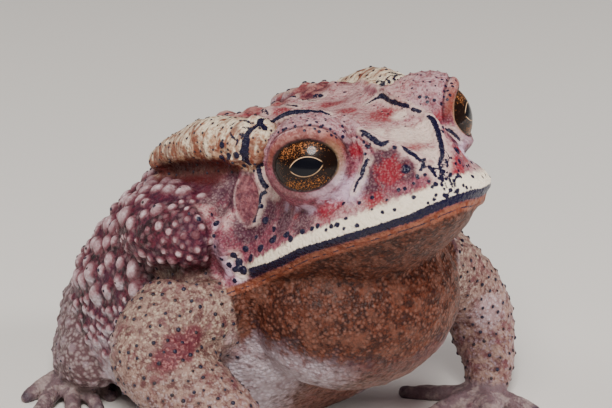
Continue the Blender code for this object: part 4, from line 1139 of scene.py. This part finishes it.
def paint_skin():
    """The skin's material. Each region has its own colours, from the ground up, and its own measure."""
    material, wire, shader = new_paint("toad_skin")
    kept, spot = wire.kept, wire.places()
    broad, patch, mottle = spot.cloud(0.16), spot.cloud(0.42, 4, 0.6), spot.cloud(1.1, 4, 0.65)
    fine, grain = spot.cloud(3.2, 3, 0.6), spot.cloud(8.0, 2, 0.5)
    jag = (fine - 0.5) * 0.7 + (grain - 0.5) * 0.3
    granules, beadlets, dust = spot.pebbles(0.85), spot.pebbles(1.5), spot.pebbles(3.0)
    granular = beadlets.fall(0.12, 0.70)
    sandy = (beadlets * 0.55 + dust * 0.45 + jag * 0.3).fall(0.18, 0.58)
    face, gland, hand, wart = kept("face"), kept("gland"), kept("hand"), kept("wart")
    height, aside = spot.along(2), spot.along(0).size()

    # Back and flanks: crimson and plum ground, pale warts
    dorsal = layered(
        patch.rise(0.38, 0.58).over((0.27, 0.045, 0.055), (0.42, 0.18, 0.16)),
        (mottle.rise(0.50, 0.64) * 0.75, CRIMSON),
        (broad.fall(0.42, 0.52) * mottle.rise(0.38, 0.54) * 0.8, PLUM),
        ((wart + jag * 0.35).rise(0.35, 0.75) * 0.35, CREAM))
    flank = layered(
        broad.rise(0.40, 0.58).over(DUSK, PLUM),
        (patch.rise(0.52, 0.66) * 0.40, (0.20, 0.0080, 0.030)),
        (mottle.rise(0.46, 0.64) * 0.7, MAUVE),
        ((granules + jag * 0.2).fall(0.18, 0.50) * 0.25, WART),
        ((wart + jag * 0.2).rise(0.12, 0.28), (0.14, 0.045, 0.058)),
        ((wart + jag * 0.2).rise(0.28, 0.62),
         mottle.rise(0.42, 0.62).over((0.40, 0.25, 0.27), (0.61, 0.46, 0.49))),
        (kept("dorsal") * 0.85, dorsal))

    # Legs and arms: sandy granules on brown
    shin = layered(
        granular.over((0.100, 0.050, 0.056), (0.310, 0.235, 0.235)),
        ((wart + jag * 0.3).rise(0.2, 0.6) * 0.25, PEARL))
    hide = layered(
        (mottle + jag * 0.6).rise(0.36, 0.60).over((0.110, 0.044, 0.042), (0.30, 0.190, 0.155)),
        # The arms' granules are painted paler higher up, as light falling from above
        (sandy * 0.68, height.rise(12.0, 24.0).over((0.39, 0.29, 0.34), (0.62, 0.49, 0.37))),
        ((patch + jag * 0.3).rise(0.54, 0.66) * 0.6, (0.16, 0.045, 0.055)),
        ((kept("blotch") * 1.5 + (mottle - 0.5) * 1.6 + jag * 0.5).rise(0.35, 1.05) * 0.9,
         sandy.over((0.10, 0.010, 0.022), (0.32, 0.110, 0.115))),
        # Pale patches of painted sheen on the arms
        ((kept("sheen_patch") * 1.4 + (mottle - 0.5) * 1.2).rise(0.2, 1.2) * 0.8,
         sandy.over(WART, (0.60, 0.50, 0.56))),
        ((wart + jag * 0.15).rise(0.30, 0.8) * 0.55, (0.065, 0.022, 0.022)))

    # Belly: brown in the middle, pale and pebbled towards the sides
    belly = layered(
        (mottle + jag * 0.4).rise(0.36, 0.64).over((0.055, 0.015, 0.009), (0.170, 0.072, 0.052)),
        ((aside + (mottle - 0.5) * 9 + (patch - 0.5) * 8).rise(5.5, 12.5),
         granular.over((0.46, 0.37, 0.40), (0.64, 0.55, 0.62))),
        (patch.rise(0.52, 0.64) * 0.4, (0.160, 0.055, 0.040)))

    # Glands: cream, with rust in the grooves across them; their downward-facing undersides get painted
    # shade, warm brown with more rust and darker grooves
    low = kept("upward").fall(-0.25, 0.55)
    across = wire.node("VectorMath", {"operation": "MULTIPLY"}, {0: spot, 1: (0.4, 1.3, 0.4)})
    cask = layered(
        mottle.rise(0.36, 0.52).over((0.46, 0.27, 0.17), (0.80, 0.67, 0.50)),
        (low * patch.rise(0.36, 0.56) * 0.45, (0.40, 0.15, 0.05)),
        ((patch + low * 0.16).rise(0.48, 0.62) * mottle.rise(0.40, 0.6) * 0.85, RUST),
        ((across.cloud(0.8, 2, 0.5) + low * 0.10 + jag * 0.15).rise(0.50, 0.64) * 0.8,
         patch.rise(0.4, 0.55).over((0.16, 0.05, 0.035), RUST)),
        ((wart + jag * 0.2).rise(0.30, 0.75) * 0.4, (0.26, 0.085, 0.035)))

    # Throat: brown with lighter granules
    jaw = layered(
        (mottle + (fine - 0.5) * 0.8).rise(0.34, 0.66).over(UMBER, (0.098, 0.023, 0.0105)),
        ((patch + (mottle - 0.5) * 0.4).fall(0.38, 0.52) * 0.5, UMBER),
        ((beadlets + jag * 0.3).fall(0.14, 0.50) * 0.7, (0.185, 0.075, 0.052)),
        (patch.rise(0.50, 0.62) * 0.35, (0.190, 0.075, 0.050)))

    # Head: mauve, paler on top, with patches of purple, lilac, crimson and cream
    roof = kept("upward").rise(0.45, 0.80) * 0.85
    cream = (kept("cream") * 1.5 + (mottle - 0.5) * 1.0 + jag * 0.4).rise(0.15, 1.10) * 0.85
    halo = (kept("ink") + (mottle - 0.5) * 1.4).fall(0.15, 0.85) * 0.5
    lid, lid_above, lid_nasal = kept("lid"), kept("lid_above"), kept("lid_nasal")
    crown = layered(
        (mottle + (fine - 0.5) * 0.5).rise(0.36, 0.62).over((0.135, 0.021, 0.042), (0.310, 0.085, 0.118)),
        ((patch + (fine - 0.5) * 0.3).rise(0.46, 0.60) * 0.75, MAUVE),
        ((fine + jag * 0.6).rise(0.54, 0.66) * 0.55, (0.050, 0.009, 0.030)),
        (roof, (mottle + jag * 1.0).rise(0.34, 0.60).over((0.30, 0.095, 0.110), (0.60, 0.38, 0.37))),
        ((fine + grain - 1.0).rise(0.10, 0.26) * 0.35, (0.075, 0.014, 0.035)),
        ((kept("purple") * 1.6 + (mottle - 0.5) * 1.6 + jag * 0.8).rise(0.35, 1.0) * 0.8,
         (0.038, 0.0075, 0.022)),
        ((kept("lilac") * 1.6 + (mottle - 0.5) * 1.2 + jag * 0.5).rise(0.20, 1.10) * 0.85, LILAC),
        ((kept("crimson") * 1.5 + (mottle - 0.5) * 2.0 + jag * 1.2).rise(0.40, 1.10) * 0.88, CRIMSON),
        (lid.rise(1.6, 2.2) * lid.fall(5.0, 6.5) * lid_above.rise(0.1, 0.5) * 0.85,
         (mottle + jag * 0.4).rise(0.38, 0.6).over((0.230, 0.080, 0.100), (0.44, 0.27, 0.30))),
        (cream.above(halo), (0.76, 0.60, 0.52)),
        (dust.fall(0.25, 0.6) * (0.12 + roof * 0.18), (0.68, 0.50, 0.47)),
        ((spot.pebbles(2.1) + jag * 0.5).fall(0.10, 0.20) * mottle.rise(0.44, 0.56) * 0.75,
         (0.022, 0.0058, 0.022)),
        ((dust + jag * 0.3).fall(0.14, 0.26) * (mottle + patch - 1.0).rise(-0.02, 0.10) * (1 - roof) * 0.8,
         (0.030, 0.0070, 0.026)))

    # Lids: a warm upper rim with painted shade along its edge and in the crease above, a pale lower one, and
    # a dark line round the opening
    upper = lid.rise(0.05, 0.3) * (lid - lid_nasal * 0.4).fall(0.9, 1.5) * lid_above.rise(-0.05, 0.4)
    lower = lid.rise(0.05, 0.3) * lid.fall(0.4, 1.3) * lid_above.fall(-0.4, 0.05)
    corner = (lid_nasal.size() + jag * 0.3).rise(0.50, 0.90)
    warm = (mottle + jag * 0.3).rise(0.4, 0.6).over((0.24, 0.075, 0.066), (0.46, 0.22, 0.19))
    crown = layered(
        crown,
        (upper * 0.85, (corner * 0.85).over(warm, RUST)),
        (lower * 0.6, lid_nasal.rise(-0.4, 0.3).over((0.15, 0.075, 0.070), (0.42, 0.31, 0.36))),
        # Painted shade under the upper lid's overhanging edge
        (lid.fall(0.1, 0.75) * lid_above.rise(-0.2, 0.4) * 0.6, (0.110, 0.028, 0.022)),
        # Painted shade in the crease above the upper lid
        (ridge_line(lid, LID_CREASE, 0.25) * lid_above.rise(-0.1, 0.3) * 0.7, (0.052, 0.011, 0.014)),
        (lid.fall(0.05, 0.22) * 0.95, (0.014, 0.0050, 0.0042)),
        (lid.fall(0.4, 0.8) * lid.rise(-0.1, 0.1) * lid_nasal.rise(0.7, 0.98) * 0.35, (0.40, 0.26, 0.13)))

    # Eardrums: a mottled oval with a pale rim
    ear = kept("ear") + jag * 0.12
    crown = layered(
        crown,
        (ear.fall(0.85, 1.0) * 0.8,
         (mottle + jag * 0.5).rise(0.4, 0.6).over((0.085, 0.018, 0.030), (0.235, 0.082, 0.088))),
        (ear.rise(0.88, 0.98) * ear.fall(1.0, 1.12) * mottle.rise(0.35, 0.6) * 0.55, (0.46, 0.30, 0.29)))

    # Lips: cream above the mouth, a black edge line, and a brown lower lip with a thin broken line
    lip, back, throat = kept("lip"), kept("jaw_back"), kept("throat")
    ragged = lip + jag * 0.8
    pale_lip = ragged.rise(0.0, 0.3) * back.rise(0.5, 3.0)
    pale_lip *= (back.slide(2.0, 26.0, 1.7, 3.1) - (lip + (mottle - 0.5) * 2.2 + jag * 0.5)).rise(-0.3, 0.5)
    heavy = back.slide(1.0, 7.0, 1.15, 0.6)
    edge_line = ragged.rise(-0.60, -0.42) * (heavy - ragged).rise(-0.04, 0.08) * back.rise(1.0, 2.2)
    seam = ridge_line(lip + jag * 0.5, -1.3, 0.12) * mottle.rise(0.44, 0.54)

    # Ink: the lines, beads and spots and the tips of fingers and toes; the nostril pits get the same near
    # black as painted shade
    ink_and_nostril_shade = edge_line.above((kept("ink") + jag * 0.7).fall(-0.05, 0.07))
    ink_and_nostril_shade = ink_and_nostril_shade.above((kept("bead") + jag * 0.2).fall(0.02, 0.14))
    ink_and_nostril_shade = ink_and_nostril_shade.above(kept("nostril").fall(0.55, 0.8)).above(kept("tip") * hand)

    hollow_shade = kept("hollow_shade")
    body = layered(
        flank,
        ((kept("leg") + (mottle - 0.5) * 1.2 - wart * 0.3).rise(0.25, 0.85), shin),
        (kept("arm"), hide),
        (kept("belly"), belly),
        (hand, patch.rise(0.45, 0.6).over((0.150, 0.095, 0.105), (0.340, 0.260, 0.250))),
        # Painted shade, near black, in the sunk folds, but not on the glands
        ((kept("fold") * (1 - gland)).rise(0.25, 0.9) * 0.85, (0.030, 0.0045, 0.0050)),
        (gland, cask),
        # Painted shade under each gland: a wide dark fall-off along the hollow and a darker middle
        ((hollow_shade + (patch - 0.5) * 0.8).rise(0.0, 0.5) * (1 - gland) * 0.6, (0.070, 0.011, 0.022)),
        ((hollow_shade + (mottle - 0.5) * 0.3).rise(0.54, 0.9) * 0.94, (0.075, 0.0095, 0.0100)),
        ((throat + (mottle - 0.5) * 0.9 + (patch - 0.5) * 1.2).rise(0.15, 0.85), jaw),
        (face, crown),
        (pale_lip, CREAM),
        (ragged.rise(-2.0, -1.6) * ragged.fall(-0.6, -0.4) * face.above(throat),
         mottle.rise(0.38, 0.58).over((0.150, 0.032, 0.014), (0.26, 0.090, 0.052))),
        (seam, INK),
        (ink_and_nostril_shade, INK))

    relief = beadlets.fall(0.1, 0.7) * 0.6 + dust.fall(0.1, 0.7) * 0.25 + fine * 0.35 + grain * 0.15
    bump = wire.node("Bump", sockets={"Strength": 0.8, "Distance": 0.00025, "Height": relief})
    set_paint(shader, Base_Color=body, Roughness=0.50 + (fine - 0.5) * 0.3 - ink_and_nostril_shade * 0.22, Normal=bump,
              Specular_IOR_Level=0.28, Subsurface_Weight=0.05, Subsurface_Radius=(1.0, 0.4, 0.25),
              Subsurface_Scale=0.001)
    return material


skin.data.materials.clear()
skin.data.materials.append(paint_skin())
skin.data.transform(Matrix.Translation(SET_DOWN))
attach(skin, "root")
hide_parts(*[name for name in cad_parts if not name.startswith("eye_")])


# Horny tips. The warts of the arms, glands, lids and back end in small dark points of horn. Each is a
# low dome, a little uneven in size, that sits upright on its wart.
# Radius of the tips on each kind of wart, and the share of its warts that have none
TIP_RADII = {"arm": 0.26, "gland": 0.20, "lid": 0.13, "leg": 0.17, "ridge": 0.24, "back": 0.36}
BARE_SHARES = {"arm": 0.1, "gland": 0.05, "lid": 0.3, "leg": 0.7, "ridge": 0.6, "back": 0.35}
TIP_SEED = 9


def tip_tree(horn):
    """A tree that sets a dome on every point, along the point's own direction and as wide as it says."""
    tree = bpy.data.node_groups.new("horny_tips", "GeometryNodeTree")
    settings = [("Places", "Geometry", None), ("Dome Height", "Float", 0.5), ("Unevenness", "Float", 0.3),
                ("Seed", "Int", 11), ("Horn", "Material", horn)]
    for name, kind, value in settings:
        socket = tree.interface.new_socket(name, in_out="INPUT", socket_type="NodeSocket" + kind)
        if kind in ("Float", "Int"):
            socket.default_value = value
    tree.interface.new_socket("Tips", in_out="OUTPUT", socket_type="NodeSocketGeometry")

    def node(kind, options=None, sockets=None):
        made = tree.nodes.new(kind)
        for key, value in (options or {}).items():
            setattr(made, key, value)
        for key, value in (sockets or {}).items():
            if isinstance(value, bpy.types.NodeSocket):
                tree.links.new(value, made.inputs[key])
            else:
                made.inputs[key].default_value = value
        return made

    given = node("NodeGroupInput").outputs
    ball = node("GeometryNodeMeshUVSphere", sockets={"Segments": 7, "Rings": 4, "Radius": 1.0})
    flat = node("ShaderNodeCombineXYZ", sockets={"X": 1.0, "Y": 1.0, "Z": given["Dome Height"]})
    dome = node("GeometryNodeTransform", sockets={"Geometry": ball.outputs[0], "Scale": flat.outputs[0]})
    way = node("GeometryNodeInputNamedAttribute", {"data_type": "FLOAT_VECTOR"}, {"Name": "way"})
    turn = node("FunctionNodeAlignRotationToVector", {"axis": "Z"}, {"Vector": way.outputs["Attribute"]})
    size = node("GeometryNodeInputNamedAttribute", {"data_type": "FLOAT"}, {"Name": "size"})
    least = node("ShaderNodeMath", {"operation": "SUBTRACT"}, {0: 1.0, 1: given["Unevenness"]})
    most = node("ShaderNodeMath", {"operation": "ADD"}, {0: 1.0, 1: given["Unevenness"]})
    chance = node("FunctionNodeRandomValue", {"data_type": "FLOAT"},
                  {2: least.outputs[0], 3: most.outputs[0], "Seed": given["Seed"]})
    scale = node("ShaderNodeMath", {"operation": "MULTIPLY"},
                 {0: size.outputs["Attribute"], 1: chance.outputs[1]})
    tips = node("GeometryNodeInstanceOnPoints", sockets={
        "Points": given["Places"], "Instance": dome.outputs[0], "Rotation": turn.outputs[0],
        "Scale": scale.outputs[0]})
    real = node("GeometryNodeRealizeInstances", sockets={"Geometry": tips.outputs[0]})
    smooth = node("GeometryNodeSetShadeSmooth", sockets={"Geometry": real.outputs[0]})
    painted = node("GeometryNodeSetMaterial",
                   sockets={"Geometry": smooth.outputs[0], "Material": given["Horn"]})
    node("NodeGroupOutput", sockets={"Tips": painted.outputs[0]})
    return tree


def paint_horn():
    material, wire, shader = new_paint("dark_horn")
    cloud = wire.places().cloud(0.9, 2, 0.5)
    set_paint(shader, Base_Color=cloud.rise(0.40, 0.65).over(INK, (0.022, 0.010, 0.012)),
              Roughness=0.38 + (cloud - 0.5) * 0.2)
    return material


def horny_tips():
    """Points on the skin at the tops of the warts, each with its direction and size, turned into domes."""
    tree = skin_tree()
    rng = np.random.default_rng(TIP_SEED)
    points, ways, sizes = [], [], []
    for place, _, _, _, kind in warts:
        if kind not in TIP_RADII or rng.random() < BARE_SHARES[kind]:
            continue
        point, way = tree.find_nearest(Vector(place) * MM + SET_DOWN)[:2]
        points.append(point)
        ways.append(way)
        sizes.append(TIP_RADII[kind] * MM)
    mesh = bpy.data.meshes.new("horny_tips")
    mesh.from_pydata(points, [], [])
    mesh.attributes.new("way", "FLOAT_VECTOR", "POINT").data.foreach_set("vector", np.ravel(ways))
    mesh.attributes.new("size", "FLOAT", "POINT").data.foreach_set("value", sizes)
    thing = placed("horny_tips", mesh)
    horn = paint_horn()
    grow = thing.modifiers.new("grow", "NODES")
    grow.node_group = tip_tree(horn)
    for item in grow.node_group.interface.items_tree:
        if item.name == "Horn":
            grow[item.identifier] = horn
    return baked(thing)


tips = horny_tips()
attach(tips, "root")


# The eyes. Glass eyes with a coppery, gold-flecked iris round a level, pointed pupil with a bright
# thin rim. Each ball sits in its socket behind the lids.
def eyeball(side, word):
    """A glass eye; its points keep their place across and above the line of sight, in millimetres."""
    centre, gaze, across, lift = eye_frame(side)
    bm = bmesh.new()
    bmesh.ops.create_uvsphere(bm, u_segments=72, v_segments=48, radius=EYE_RADIUS)
    turned = Matrix((across, lift, gaze)).transposed().to_4x4()
    bmesh.ops.transform(bm, matrix=Matrix.Translation(centre) @ turned, verts=bm.verts)
    for face in bm.faces:
        face.smooth = True
    ball = object_from(bm, f"glass_eye_{word}", TO_BODY)
    mesh = ball.data
    local = to_head(mesh_points(mesh)[0]) - np.array(centre)
    for name, way in (("nasal", across * -side), ("above", lift)):
        values = (local @ np.array(way)).astype(np.float32)
        mesh.attributes.new(name, "FLOAT", "POINT").data.foreach_set("value", values)
    mesh.transform(Matrix.Translation(SET_DOWN))
    return ball


PUPIL_HALF = (2.25, 1.22)


def paint_eye():
    """Dark glass with gold flecks above and below the pupil, whose outline is two arcs that meet."""
    material, wire, shader = new_paint("glass_eye")
    nasal, above = wire.kept("nasal") - 0.35, wire.kept("above") + 0.05
    wide, high = PUPIL_HALF
    radius = (wide * wide + high * high) / (2 * high)
    level = above.size()
    arc = level + (radius - high)
    lens = (nasal * nasal + arc * arc).root() - radius
    disc = (nasal * nasal + above * above).root()
    spot = wire.places()
    flecks, dust = spot.cloud(4.2, 4, 0.7), spot.cloud(10.0, 3, 0.6)
    gilt = (level.rise(0.7, 2.2) * 0.8 + nasal.fall(-3.0, -1.0) * 0.2) * disc.fall(3.6, 4.4)
    gilt *= nasal.fall(1.8, 3.4)
    grains = (flecks - 0.5) * 3.4 + (dust - 0.5) * 3.2
    gold = above.rise(-0.5, 0.5).over((0.40, 0.125, 0.016), (0.52, 0.180, 0.055))
    rim = lens.rise(-0.02, 0.04) * lens.fall(0.06, 0.16) * level.rise(0.10, 0.5) * above.rise(-3.0, 0.6)
    pupil = lens.fall(-0.04, 0.02)
    iris = layered(
        (gilt * 0.7 + grains - 0.52).rise(0.22, 0.50).over((0.008, 0.003, 0.002), gold),
        (gilt * dust.rise(0.60, 0.70) * flecks.rise(0.5, 0.6), (0.75, 0.38, 0.16)),
        (disc.rise(3.9, 4.4), (0.008, 0.005, 0.004)),
        (rim, (0.70, 0.44, 0.25)),
        (pupil, (0.003, 0.003, 0.006)))
    set_paint(shader, Base_Color=iris, Roughness=0.35 - pupil * 0.1, Specular_IOR_Level=0.1,
              Coat_Weight=0.35, Coat_Roughness=0.03, Coat_IOR=1.4)
    return material


eye_paint = paint_eye()
for side, word in ((-1, "right"), (1, "left")):
    ball = eyeball(side, word)
    ball.data.materials.append(eye_paint)
    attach(ball, "root")
    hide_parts(f"eye_{word}")


# The studio. A wide pale floor, a broad soft key light from above the toad's right, a weak light from
# behind, a fill from its left, and the camera.
FLOOR_HALF = 6.0
LIGHT_AIM = (0, 0, 0.03)
AZIMUTH, ELEVATION, DISTANCE = math.radians(-35), math.radians(19), 0.330
LENS, SENSOR = 139.2, 36
# How far the camera aims to the side of the head's middle and above it, in millimetres
AIM_ASIDE, AIM_ABOVE = -4.2, 0.5


def studio_floor():
    """A flat square of matt paper."""
    mesh = bpy.data.meshes.new("floor")
    corners = [(x * FLOOR_HALF, y * FLOOR_HALF, 0) for x, y in ((-1, -1), (1, -1), (1, 1), (-1, 1))]
    mesh.from_pydata(corners, [], [(0, 1, 2, 3)])
    material, _, shader = new_paint("floor_paper")
    set_paint(shader, Base_Color=(0.80, 0.77, 0.73, 1), Roughness=0.8)
    mesh.materials.append(material)
    placed("floor", mesh)


def soft_light(name, place, size, power, colour):
    """A round soft light, turned to the toad."""
    data = bpy.data.lights.new(name, "AREA")
    data.shape = "DISK"
    data.size = size
    data.energy = power
    data.color = colour
    thing = placed(name, data)
    thing.location = place
    thing.rotation_euler = (Vector(LIGHT_AIM) - Vector(place)).to_track_quat("-Z", "Y").to_euler()
    return thing


studio_floor()
soft_light("key", (-0.27, -0.36, 0.50), 0.26, 5.6, (1.0, 0.97, 0.93))
soft_light("back", (-0.35, 0.40, 0.40), 0.30, 1.2, (1.0, 0.96, 0.92))
fill = soft_light("fill", (0.58, -0.32, 0.15), 0.36, 5.0, (1.0, 0.98, 0.97))
fill.visible_glossy = False
world = bpy.data.worlds.new("studio")
world.use_nodes = True
glow_all_round = world.node_tree.nodes["Background"].inputs
glow_all_round["Color"].default_value = (0.80, 0.78, 0.78, 1)
glow_all_round["Strength"].default_value = 0.16
bpy.context.scene.world = world

back = Vector((math.sin(AZIMUTH) * math.cos(ELEVATION), -math.cos(AZIMUTH) * math.cos(ELEVATION),
               math.sin(ELEVATION)))
right = Vector((math.cos(AZIMUTH), math.sin(AZIMUTH), 0))
target = (HEAD_ORIGIN + right * AIM_ASIDE + back.cross(right) * AIM_ABOVE) * MM + SET_DOWN
camera = placed("camera", bpy.data.cameras.new("camera"))
camera.data.sensor_width = SENSOR
camera.data.lens = LENS
camera.data.clip_start = 0.01
camera.location = target + back * DISTANCE
camera.rotation_euler = (-back).to_track_quat("-Z", "Y").to_euler()
bpy.context.scene.camera = camera
